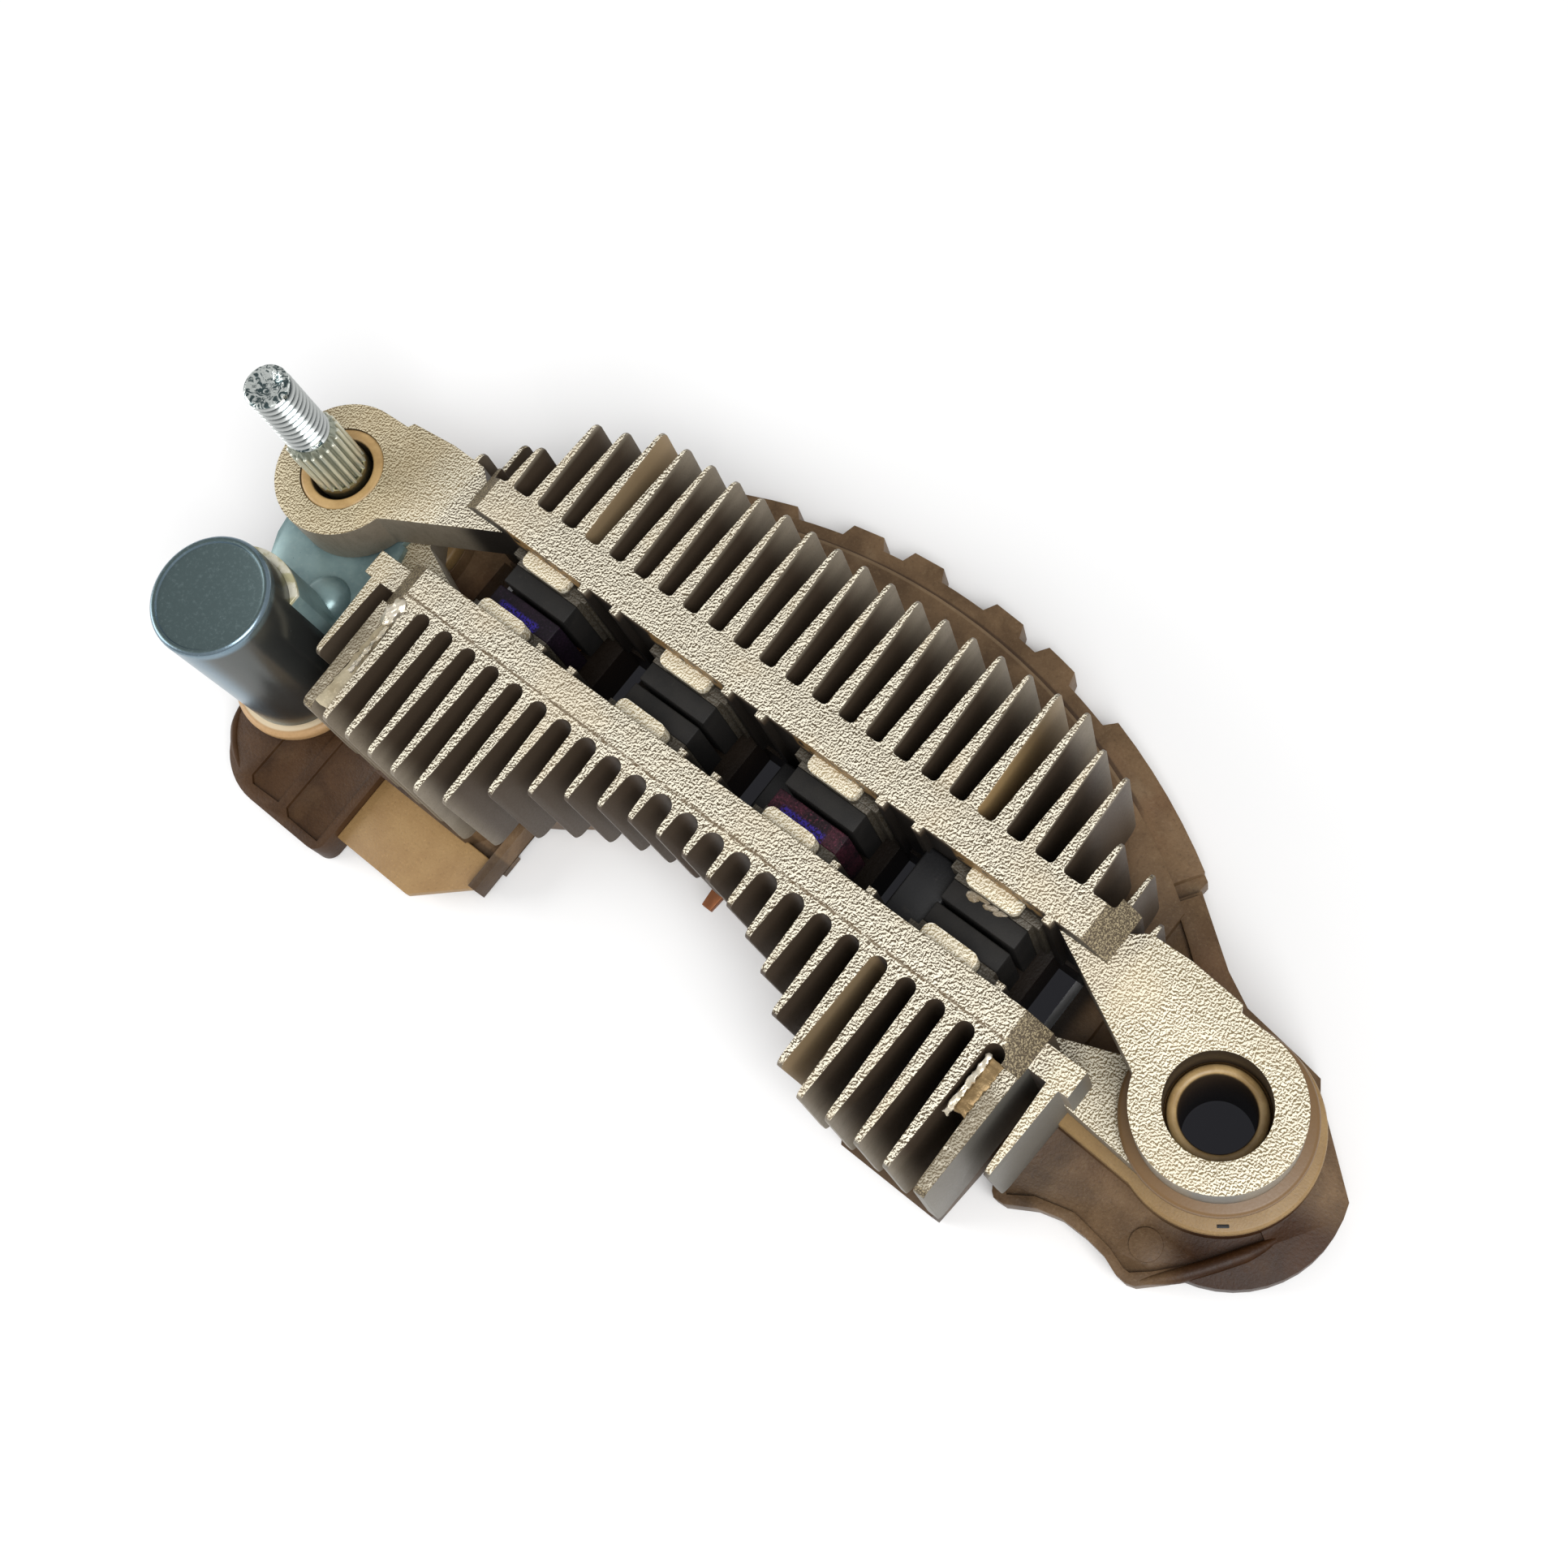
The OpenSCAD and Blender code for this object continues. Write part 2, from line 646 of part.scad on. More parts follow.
// Band along the rim between two angles from the Y axis and two radii
module rim_band(r0, r1, a0, a1) {
    at = function (r, a) [shaft_x, -shaft_y] + r * [sin(a), cos(a)];
    steps = ceil((a1 - a0) / 2);
    polygon(concat([for (i = [0:steps]) at(r1, a0 + (a1 - a0) * i / steps)],
                   [for (i = [steps:-1:0]) at(r0, a0 + (a1 - a0) * i / steps)]));
}

module terminal_frame() {
    color([0.45, 0.35, 0.27]) {
        frame_body();
        linear_extrude(plate_base) {
            plate_plan(2);
            translate([block_left - 1, -23]) square([end_bar[0] + 2 - block_left, 2.5]);
        }
        translate([end_bar[0], -26.2, 1]) linear_extrude(rim_t - 1) square([end_bar[1], 12]);
    }
}

// Rim and lobes, with their pockets, the groove beside the last tab and the bar after it
module frame_rim() {
    bar_r = tab_rim_r - 2.4;
    difference() {
        linear_extrude(rim_t) {
            frame_plan();
            for (t = [[-32.8, -17.1], [-11.5, -8.5], [-5.3, -2.3], [3.5, 6.5], [9.6, 12.7],
                      [18.5, 33.6]])
                rim_tab(t[0], t[1]);
        }
        translate([0, 0, rim_t - pocket_d]) linear_extrude(5) {
            right_pocket_plan();
            left_pocket_plan();
        }
        translate([0, 0, rim_t - 1.2]) linear_extrude(5)
            rim_band(bar_r - 1.8, tab_rim_r + 1, 33, 34.4);
    }
    linear_extrude(rim_t + bar_rise) rim_band(bar_r - 1.5, bar_r + 1, 34.8, 45);
    translate([bolt_x + 0.8, -12.5, 1]) cylinder(r = 1.6, h = rim_t - 1 - pocket_d / 2);
}

module frame_body() {
    difference() {
        union() {
            frame_rim();
            linear_extrude(deck_z) intersection() {
                deck_plan();
                translate([shaft_x, -shaft_y]) circle(r = deck_r, $fn = 180);
            }
            translate([can_pos[0], can_pos[1], 0]) cylinder(r = can_r, h = deck_z);
            mirrored() translate([bolt_x, 0, 0])
                cylinder(r = inner_ear_r + plate_margin, h = plate_z);
            mirrored() linear_extrude(plate_z) plate_foot();
        }
        translate([shaft_x, -shaft_y, -1]) cylinder(r = arc_r, h = 10, $fn = 180);
        translate([bolt_x, 0, -1]) cylinder(r = bore_r + bush_wall, h = 10);
        translate([-bolt_x, 0, inner_ear_z - stud_head_t]) cylinder(r = stud_head_r, h = 10);
        translate([0, 0, -1]) linear_extrude(10) frame_windows();
        for (i = [0:3]) translate([0, 0, deck_z - lead_t]) linear_extrude(10) lead_plan(i);
    }
}

// Tan insulating plate at the frame's front, on a ledge between the lobe and the end bar
module terminal_plate() {
    color([0.72, 0.59, 0.39]) translate([0, 0, plate_base]) linear_extrude(rim_t - plate_base - 1)
        plate_plan();
}

// Capacitor

module capacitor_can() {
    rim = 0.7;
    color([0.42, 0.49, 0.51]) translate([can_pos[0], can_pos[1], deck_z + seal_t])
        rotate_extrude() difference() {
            square([can_r, can_len]);
            translate([can_r - rim, can_len - rim]) corner_cut(rim);
        }
}

module capacitor_seal() {
    color([0.8, 0.66, 0.45]) translate([can_pos[0], can_pos[1], deck_z])
        cylinder(r = seal_r, h = seal_t);
}

module capacitor_bracket() {
    right = -block_half - 0.6;
    color([0.4, 0.48, 0.48]) difference() {
        union() {
            translate([0, 0, flange_z]) linear_extrude(bracket_t) {
                translate([-bolt_x, 0]) circle(ear_r);
                polygon([[0.5 - bolt_x - ear_r, -2], [-bolt_x - 5.9, -9], [-bolt_x - 4, -13],
                         [right, -13], [right, -9.5], [right - 2, -2]]);
            }
            intersection() {
                translate([can_pos[0], can_pos[1], flange_z])
                    cylinder(r = can_r + bracket_t, h = saddle_h);
                translate([can_pos[0] - 5, can_pos[1], flange_z]) cube([10, 10, saddle_h]);
            }
        }
        translate([-bolt_x, 0, flange_z - 1]) cylinder(r = spline_r + fit, h = 4);
        translate([can_pos[0], can_pos[1], flange_z - 1]) cylinder(r = can_r, h = saddle_h + 2);
    }
}

outer_heatsink();
inner_heatsink();
bolt_bush();
stud_bush();
right_insulating_plate();
left_insulating_plate();
output_stud();
terminal_frame();
terminal_plate();
capacitor_can();
capacitor_seal();
capacitor_bracket();
for (i = [0:3]) {
    outer_diode(i);
    outer_diode_base(i);
    inner_diode(i);
    inner_diode_base(i);
    phase_lead(i);
}
for (i = [0:1])
    lead_cover(i);
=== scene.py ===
import json
import math

import bmesh
import bpy
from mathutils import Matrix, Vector


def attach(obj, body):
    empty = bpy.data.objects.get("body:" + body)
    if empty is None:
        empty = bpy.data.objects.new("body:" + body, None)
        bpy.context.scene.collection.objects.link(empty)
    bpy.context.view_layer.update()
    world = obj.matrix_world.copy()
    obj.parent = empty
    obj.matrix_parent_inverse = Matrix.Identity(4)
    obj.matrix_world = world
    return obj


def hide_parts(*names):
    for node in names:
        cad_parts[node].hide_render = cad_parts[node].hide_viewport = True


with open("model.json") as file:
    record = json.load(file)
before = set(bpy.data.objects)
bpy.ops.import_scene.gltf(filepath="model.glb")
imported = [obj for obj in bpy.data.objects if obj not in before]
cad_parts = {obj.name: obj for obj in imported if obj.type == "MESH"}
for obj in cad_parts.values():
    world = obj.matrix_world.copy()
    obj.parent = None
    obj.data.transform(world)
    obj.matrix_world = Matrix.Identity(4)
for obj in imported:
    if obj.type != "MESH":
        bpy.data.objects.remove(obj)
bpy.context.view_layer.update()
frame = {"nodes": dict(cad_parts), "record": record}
mm = 0.001
# in plan, in mm: the bolts at -56 and 56, the shaft that the frame curves round, the capacitor
boltX = 56
shaftAxis = (1.8, -39.4)
canAxis = (-52.4, -19.4)


# a number socket that takes arithmetic
class Wire:
    def __init__(self, shade, socket):
        self.shade, self.socket = shade, socket

    def maths(self, operation, *values):
        return self.shade.node("ShaderNodeMath", {"operation": operation}, dict(enumerate(values)))

    def __add__(self, other):
        return self.maths("ADD", self, other)

    def __radd__(self, other):
        return self.maths("ADD", other, self)

    def __sub__(self, other):
        return self.maths("SUBTRACT", self, other)

    def __rsub__(self, other):
        return self.maths("SUBTRACT", other, self)

    def __mul__(self, other):
        return self.maths("MULTIPLY", self, other)

    def __rmul__(self, other):
        return self.maths("MULTIPLY", other, self)

    def __pow__(self, other):
        return self.maths("POWER", self, other)

    def __mod__(self, other):
        return self.maths("FLOORED_MODULO", self, other)

    def __abs__(self):
        return self.maths("ABSOLUTE", self)


# a material with one method for every node that isn't arithmetic
class Shade:
    def __init__(self, name, **fixed):
        self.material = bpy.data.materials.new(name)
        self.material.use_nodes = True
        self.tree = self.material.node_tree
        self.tree.nodes.clear()
        self.surface = self.tree.nodes.new("ShaderNodeBsdfPrincipled")
        output = self.tree.nodes.new("ShaderNodeOutputMaterial")
        self.tree.links.new(self.surface.outputs[0], output.inputs["Surface"])
        for socket, value in fixed.items():
            self.surface.inputs[socket.replace("_", " ")].default_value = value
        self.place = self.node("ShaderNodeTexCoord", out="Object")
        self.facing = self.node("ShaderNodeNewGeometry", out="Normal")

    def node(self, kind, settings=None, sockets=None, out=0):
        made = self.tree.nodes.new(kind)
        for name, value in (settings or {}).items():
            setattr(made, name, value)
        for key, value in (sockets or {}).items():
            if isinstance(value, Wire):
                self.tree.links.new(value.socket, made.inputs[key])
            else:
                made.inputs[key].default_value = value
        return Wire(self, made.outputs[out])

    def feed(self, name, wire):
        self.tree.links.new(wire.socket, self.surface.inputs[name])

    # what changes over the surface, and the material that it makes
    def dress(self, colour, roughness, relief):
        self.feed("Base Color", colour)
        self.feed("Roughness", roughness)
        self.feed("Normal", relief)
        return self.material

    # noise of about the given grain size in millimetres, optionally stretched along an axis
    def noise(self, size, detail=3, rough=0.55, stretch=(1, 1, 1), distort=0.0, shift=(0, 0, 0)):
        place = self.node("ShaderNodeMapping", sockets={
            "Vector": self.place, "Scale": stretch, "Location": [v * mm for v in shift]})
        return self.node("ShaderNodeTexNoise", {"noise_dimensions": "3D"},
                         {"Vector": place, "Scale": 1 / (size * mm), "Detail": detail,
                          "Roughness": rough, "Distortion": distort})

    # 0 to 1 as the value goes from where a mark begins to where it is full
    def step(self, value, begins, full):
        return self.node("ShaderNodeMapRange", {"interpolation_type": "SMOOTHSTEP"},
                         {"Value": value, "From Min": begins, "From Max": full})

    def mix(self, factor, first, second, blend="MIX"):
        return self.node("ShaderNodeMix", {"data_type": "RGBA", "blend_type": blend},
                         {0: factor, 6: first, 7: second}, 2)

    # relief of the given depth in millimetres
    def bump(self, height, depth):
        return self.node("ShaderNodeBump", sockets={
            "Height": height, "Distance": depth * mm, "Strength": 1.0})

    # one coordinate in millimetres
    def along(self, axis):
        return self.node("ShaderNodeSeparateXYZ", sockets={0: self.place}, out=axis) * 1000

    # how far the surface faces along an axis, from -1 to 1
    def towards(self, axis):
        return self.node("ShaderNodeSeparateXYZ", sockets={0: self.facing}, out=axis)

    # distance in plan from an upright axis, in millimetres
    def reach(self, x, y):
        return ((self.along(0) - x) ** 2 + (self.along(1) - y) ** 2) ** 0.5


# linear colour from the 0 to 255 values of a picture
def rgb(red, green, blue):
    def linear(value):
        value = value / 255
        return value / 12.92 if value <= 0.04045 else ((value + 0.055) / 1.055) ** 2.4
    return (linear(red), linear(green), linear(blue), 1)


# a colour made lighter or darker
def scaled(colour, factor):
    return rgb(*[min(255, v * factor) for v in colour])


castLook = {
    # colours of what looks up: light, dark and the rails' darker worm colour are the relief's
    # painted light and shade
    "light": (250, 243, 222), "dark": (128, 112, 80), "railReliefShade": (82, 68, 45),
    "beige": (200, 180, 146), "leftTintAndShade": (228, 222, 208), "line": (98, 78, 48),
    "thickTop": (112, 100, 78), "ramp": (78, 66, 48), "rampSpeck": (158, 144, 114),
    # colours of what stands upright
    "side": (132, 122, 106), "sideStreak": (112, 102, 86), "sideSpeck": (84, 74, 60),
    # the slots', channel's and bolt holes' colours below are painted shade, and the fin faces' lit
    # and tan colours are painted light
    "endFace": (112, 109, 102), "endSpeck": (104, 98, 88), "slot": (66, 53, 40),
    "litFace": (190, 158, 108), "tanLitFace": (152, 130, 98), "inner": (28, 24, 20),
    "hole": (66, 52, 36), "flux": (150, 118, 72),
    # grain sizes and relief, in mm
    "grain": 0.22, "wormShift": (0.082, -0.066, 0), "coarse": 0.8, "patch": 9, "streak": 0.5,
    "streakStretch": (1, 0.08, 0.3), "speck": 0.2, "rampGrain": 0.17, "depth": 0.068,
    # places in mm, each from where its mark begins to where it is full
    "rail": (43.5, 42), "leftEar": (-42, -50), "stripY": -6.7, "stripWidth": (0.2, 0.08),
    "stripEnds": (38.4, 38.1), "thickFinX": 40.1, "thickFinWidth": (1.4, 1.2),
    "thickFinY": (-9, -12), "rampInner": (37.9, 38.3), "rampOuter": (41.6, 41.2),
    "outward": (12, 24), "outwardX": (40.2, 41), "outwardY": (-4, -6), "tips": (8, 15),
    "tipsX": (20, 40), "innerSlots": (-22.2, -19), "innerRail": (-2.5, -3.5),
    "outerSlots": (21.9, 17.5), "outerRail": (2.5, 3.5), "slotX": (44.5, 43),
    "slotZ": (22.6, 21.8), "finWidth": (1.1, 0.8), "innerFins": (-7, -8), "outerFins": (7, 8),
    "litX": 23.5, "litFade": (20, 11), "tanLitInnerX": 23.9, "tanLitOuterX": -26.5,
    "channelX": (41, 38.5), "channelY": (5.2, 4.7), "channelZ": (22, 20.8),
    "boltHole": (5.3, 5.1), "pairPitch": 19.2, "pairWidth": (5.4, 4.6), "railEdge": 4.5,
    "seamWidth": (0.3, 0.15), "seamZ": (19, 20), "seamX": (39, 37),
}


# winding relief of a blasted casting, as a height and as painted light and shade of that relief, as
# if lit from one side
def wormRelief(s):
    size = castLook["grain"]
    grain = s.noise(size, 1, 0.4, distort=0.5)
    beside = s.noise(size, 1, 0.4, distort=0.5, shift=castLook["wormShift"])
    return grain, s.step(grain - beside, -0.06, 0.04)


# what looks up: worms of painted relief light and shade, beige patches, a left ear darker by
# painted shade and a duller tint, the strip's brown line, thick fins
def castTop(s, wormShading, coarse):
    look = castLook
    x, y = s.along(0), s.along(1)
    # painted shade: the relief's dark side, darker still on the rails
    reliefShade = s.mix(s.step(abs(x), *look["rail"]), rgb(*look["dark"]), rgb(*look["railReliefShade"]))
    colour = s.mix(wormShading * (0.75 + 0.25 * coarse), reliefShade, rgb(*look["light"]))
    colour = s.mix(s.step(s.noise(look["patch"], 3), 0.45, 0.7) * 0.25, colour,
                   rgb(*look["beige"]))
    # painted shade on the left ear, together with its duller tint
    colour = s.mix(s.step(x, *look["leftEar"]), colour, rgb(*look["leftTintAndShade"]), "MULTIPLY")
    line = s.step(abs(y - look["stripY"] + 0.5 * (coarse - 0.5)), *look["stripWidth"])
    line = line * s.step(abs(x), *look["stripEnds"]) * s.step(coarse, 0.35, 0.5)
    colour = s.mix(line * 0.8, colour, rgb(*look["line"]))
    thick = s.step(abs(abs(x) - look["thickFinX"]), *look["thickFinWidth"])
    thick = thick * s.step(y, *look["thickFinY"]) * s.step(coarse, 0.2, 0.5)
    return s.mix(thick * 0.7, colour, rgb(*look["thickTop"]))


# what stands upright: streaked grey, end faces, painted shade in the slots, the channel and the
# bolt holes, painted light on three fin faces, flux
def castSide(s, coarse, streak, speck):
    look = castLook
    x, y, z = s.along(0), s.along(1), s.along(2)
    colour = s.mix(s.step(streak, 0.35, 0.75) * 0.5, rgb(*look["side"]),
                   rgb(*look["sideStreak"]))
    colour = s.mix(s.step(speck, 0.5, 0.75) * 0.35, colour, rgb(*look["sideSpeck"]))
    outward = s.step(s.towards("X") * x, *look["outward"])
    outward = outward * s.step(abs(x), *look["outwardX"]) * s.step(y, *look["outwardY"])
    tips = s.step(s.towards("Y") * y, *look["tips"]) * s.step(x, *look["tipsX"])
    ends = s.step(outward + tips * 0.7, 0, 1)
    colour = s.mix(ends, colour, rgb(*look["endFace"]))
    colour = s.mix(ends * s.step(speck, 0.5, 0.7) * 0.4, colour, rgb(*look["endSpeck"]))
    # painted shade: dark in the slots between the fins and along the rails
    slotShade = s.step(y, *look["innerSlots"]) * s.step(y, *look["innerRail"])
    slotShade = slotShade + s.step(y, *look["outerSlots"]) * s.step(y, *look["outerRail"])
    slotShade = slotShade * s.step(abs(x), *look["slotX"]) * s.step(z, *look["slotZ"]) * (1 - outward)
    colour = s.mix(slotShade * 0.94, colour, rgb(*look["slot"]))
    # painted light: three fin faces that face +x, one lit pale and two tan
    facing = s.step(s.towards("X"), 0.4, 0.7)
    inner = facing * s.step(y, *look["innerFins"])
    outer = facing * s.step(y, *look["outerFins"])
    lit = outer * s.step(abs(x - look["litX"]), *look["finWidth"])
    colour = s.mix(lit * (0.25 + 0.55 * s.step(y, *look["litFade"])), colour,
                   rgb(*look["litFace"]))
    tanLit = inner * s.step(abs(x - look["tanLitInnerX"]), *look["finWidth"])
    tanLit = tanLit + outer * s.step(abs(x - look["tanLitOuterX"]), *look["finWidth"])
    colour = s.mix(tanLit * 0.9, colour, rgb(*look["tanLitFace"]))
    # painted shade: dark in the channel between the rails
    channel = s.step(abs(x), *look["channelX"]) * s.step(abs(y), *look["channelY"])
    channel = channel * s.step(z, *look["channelZ"])
    colour = s.mix(channel * 0.93, colour, rgb(*look["inner"]))
    # painted shade: dark on the walls of the bolt holes
    hole = s.step(((abs(x) - boltX) ** 2 + y ** 2) ** 0.5, *look["boltHole"])
    colour = s.mix(hole * 0.95, colour, rgb(*look["hole"]))
    pitch = look["pairPitch"]
    pairs = s.step(abs((x + 2 * pitch) % pitch - pitch / 2), *look["pairWidth"])
    seam = s.step(abs(y - look["railEdge"]), *look["seamWidth"]) * s.step(z, *look["seamZ"])
    seam = seam * pairs * s.step(abs(x), *look["seamX"]) * s.step(coarse, 0.35, 0.5)
    return s.mix(seam * 0.9, colour, rgb(*look["flux"]))


# blasted casting, with speckled slopes at the rails' ends
def castAluminium():
    look = castLook
    s = Shade("castAluminium", Metallic=0.2)
    x, up = s.along(0), s.towards("Z")
    grain, wormShading = wormRelief(s)
    coarse = s.noise(look["coarse"], 2, 0.5)
    streak = s.noise(look["streak"], 2, 0.5, stretch=look["streakStretch"])
    speck = s.noise(look["speck"], 2, 0.6)
    flat = s.step(up, 0.6, 0.9)
    colour = s.mix(flat, castSide(s, coarse, streak, speck), castTop(s, wormShading, coarse))
    ramp = s.mix(s.step(s.noise(look["rampGrain"], 2, 0.6), 0.46, 0.62), rgb(*look["ramp"]),
                 rgb(*look["rampSpeck"]))
    onRamp = s.step(abs(x), *look["rampInner"]) * s.step(abs(x), *look["rampOuter"])
    onRamp = onRamp * s.step(up, 0.97, 0.9) * s.step(up, 0.2, 0.5)
    colour = s.mix(onRamp, colour, ramp)
    rough = s.bump(grain + coarse * 0.4, look["depth"])
    fine = s.bump(streak * 0.2 + speck * 0.2, look["depth"] * 0.4)
    relief = s.node("ShaderNodeMix", {"data_type": "VECTOR"},
                    {0: s.step(up, 0.3, 0.6), 4: fine, 5: rough}, 1)
    return s.dress(colour, 0.42 + 0.1 * flat + 0.2 * grain, relief)


baseLook = {"light": (244, 236, 214), "dark": (172, 156, 122), "stain": (178, 150, 104),
            "solder": (40, 33, 26), "stainSize": 1.6, "solderZ": (19.3, 18.8), "depth": 0.05}


# plated bases of the diodes: the same relief and its painted light and shade, with dark solder
# along the lower edges
def platedBase():
    look = baseLook
    s = Shade("platedBase", Metallic=0.25)
    grain, wormShading = wormRelief(s)
    stain = s.noise(look["stainSize"], 3, 0.6)
    colour = s.mix(wormShading, rgb(*look["dark"]), rgb(*look["light"]))
    colour = s.mix(s.step(stain, 0.55, 0.7) * 0.2, colour, rgb(*look["stain"]))
    lower = s.step(s.along(2) + 0.5 * (stain - 0.5), *look["solderZ"])
    colour = s.mix(lower * 0.92, colour, rgb(*look["solder"]))
    return s.dress(colour, 0.4 + 0.2 * grain, s.bump(grain + stain * 0.5, look["depth"]))


dustLook = {"colour": (168, 156, 136), "size": 1.4}


# resin in two close colours, with fine light and dark grain and some dust
def moulded(name, main, shade, gloss=0.5, grain=0.25, depth=0.03, spec=0.5, dusty=0.15, patch=6):
    s = Shade(name, Specular_IOR_Level=spec)
    fine = s.noise(grain, 3)
    broad = s.noise(patch, 3)
    colour = s.mix(s.step(broad, 0.32, 0.68), rgb(*main), rgb(*shade))
    colour = s.mix(s.step(fine, 0.55, 0.78) * 0.3, colour, scaled(main, 1.25))
    colour = s.mix(s.step(fine, 0.45, 0.25) * 0.35, colour, scaled(shade, 0.72))
    dust = s.step(s.noise(dustLook["size"], 4, 0.7), 0.62, 0.78)
    colour = s.mix(dust * dusty, colour, rgb(*dustLook["colour"]))
    return s.dress(colour, gloss + 0.18 * fine + 0.08 * dust, s.bump(fine + broad * 0.6, depth))


# metal in two close colours, with a fine bright grain
def metal(name, main, shade, gloss=0.25, grain=0.5, depth=0.01, amount=1.0, patch=4):
    s = Shade(name, Metallic=amount)
    fine = s.noise(grain, 3)
    broad = s.noise(patch, 3)
    colour = s.mix(s.step(broad, 0.3, 0.7), rgb(*main), rgb(*shade))
    colour = s.mix(s.step(fine, 0.5, 0.8) * 0.4, colour, scaled(main, 1.25))
    return s.dress(colour, gloss + 0.15 * fine + 0.06 * broad, s.bump(fine, depth))


frameLook = {
    # colours
    # the rim foot's dark, the shadow, the lip's dark and the dark between the diodes are painted
    # shade, and the rim edge's pale is a painted highlight
    "main": (115, 91, 65), "shade": (90, 69, 47), "rust": (106, 72, 48), "pale": (130, 110, 84),
    "speck": (140, 120, 92), "pit": (54, 40, 28), "lobe": (141, 112, 80), "dark": (24, 19, 16),
    "footShade": (50, 34, 24), "edgeHighlight": (160, 138, 108), "shadow": (200, 196, 190),
    "lipShade": (50, 38, 28),
    # grain sizes and relief, in mm
    "fine": 0.3, "flow": 7, "rustPatch": 15, "palePatch": 5, "depth": 0.04,
    # places in mm, each from where its mark begins to where it is full
    "front": (2, -3), "rightFrom": (42, 46), "rightLobe": (50, 56), "leftLobe": (-30, -34),
    "betweenMid": 0.5, "betweenY": (7.5, 6.5), "betweenRight": (40.5, 38.5),
    "betweenLeft": (-44, -40), "stepZ": (4.8, 5.2), "backY": (0, 4), "backX": (33, 30),
    "footOuter": (68.15, 67.9), "footInner": (67.2, 67.4), "edge": (67.0, 67.15),
    "shadowX": 43, "shadowWidth": (4.5, 2.5), "lipY": (-21.6, -22), "lipLeft": (-36, -34),
    "lipRight": (44, 42),
}


# painted shade and highlight on the frame: a dark line at the foot of its stepped rim behind with a
# pale highlight along the rim's edge, the shaded corner, and a dark front lip
def frameMarks(s, colour, front):
    look = frameLook
    x, y = s.along(0), s.along(1)
    rim = s.reach(*shaftAxis)
    high = s.step(s.along(2), *look["stepZ"])
    back = s.step(y, *look["backY"]) * s.step(x, *look["backX"])
    foot = s.step(rim, *look["footOuter"]) * s.step(rim, *look["footInner"]) * (1 - high)
    edge = s.step(rim, *look["edge"]) * high
    # painted shade in the rim's foot and a painted highlight along its edge
    colour = s.mix(foot * back * 0.65, colour, rgb(*look["footShade"]))
    colour = s.mix(edge * back * 0.25, colour, rgb(*look["edgeHighlight"]))
    shaded = front * s.step(abs(x - look["shadowX"]), *look["shadowWidth"])
    colour = s.mix(shaded, colour, rgb(*look["shadow"]), "MULTIPLY")
    # painted shade along the front lip
    lip = s.step(y, *look["lipY"]) * s.step(x, *look["lipLeft"]) * s.step(x, *look["lipRight"])
    return s.mix(lip * 0.6, colour, rgb(*look["lipShade"]))


# brown moulding with reddish and pale flow marks, darker lobes and painted shade, nearly black,
# between the diodes
def frameMoulding():
    look = frameLook
    s = Shade("brownMoulding", Specular_IOR_Level=0.25)
    x, y = s.along(0), s.along(1)
    fine = s.noise(look["fine"], 3, 0.6)
    flow = s.noise(look["flow"], 4, 0.55, distort=0.5)
    rust = s.noise(look["rustPatch"], 2)
    pale = s.noise(look["palePatch"], 3)
    colour = s.mix(s.step(flow, 0.35, 0.65), rgb(*look["main"]), rgb(*look["shade"]))
    colour = s.mix(s.step(rust, 0.5, 0.72) * 0.5, colour, rgb(*look["rust"]))
    colour = s.mix(s.step(pale, 0.58, 0.75) * 0.4, colour, rgb(*look["pale"]))
    colour = s.mix(s.step(fine, 0.52, 0.75) * 0.25, colour, rgb(*look["speck"]))
    colour = s.mix(s.step(fine, 0.45, 0.28) * 0.3, colour, rgb(*look["pit"]))
    front = s.step(y, *look["front"])
    right = 0.08 * s.step(x, *look["rightFrom"]) + 0.92 * s.step(x + 0.5 * y, *look["rightLobe"])
    left = 0.84 * s.step(x, *look["leftLobe"])
    colour = s.mix(front * (right + left), colour, rgb(*look["lobe"]), "MULTIPLY")
    # painted shade: nearly black in the deep gap between the rails and the diodes
    gapShade = s.step(abs(y - look["betweenMid"]), *look["betweenY"])
    gapShade = gapShade * s.step(x, *look["betweenRight"]) * s.step(x, *look["betweenLeft"])
    colour = s.mix(gapShade * 0.92, colour, rgb(*look["dark"]))
    return s.dress(frameMarks(s, colour, front), 0.38 + 0.2 * fine,
                   s.bump(fine + flow * 0.8, look["depth"]))


bushLook = {"bore": (3.7, 3.53), "foot": (114, 86, 52), "footZ": (14.7, 14.4), "patch": 2.5,
            "fine": 0.3, "depth": 0.012}


# tan bush on a bolt's axis, browner at its foot, with painted shade inside its bore
def bushMoulding(name, axisX, main, shade, dark):
    look = bushLook
    s = Shade(name)
    fine = s.noise(look["fine"], 3)
    colour = s.mix(s.step(s.noise(look["patch"], 3), 0.35, 0.65), rgb(*main), rgb(*shade))
    colour = s.mix(s.step(fine, 0.5, 0.75) * 0.2, colour, scaled(main, 1.2))
    colour = s.mix(s.step(s.along(2), *look["footZ"]), colour, rgb(*look["foot"]))
    # painted shade on the bore's wall
    bore = s.step(s.reach(axisX, 0), *look["bore"])
    return s.dress(s.mix(bore * 0.95, colour, rgb(*dark)), 0.34 + 0.15 * fine,
                   s.bump(fine, look["depth"]))


steelLook = {"fine": 0.3, "depth": 0.006}


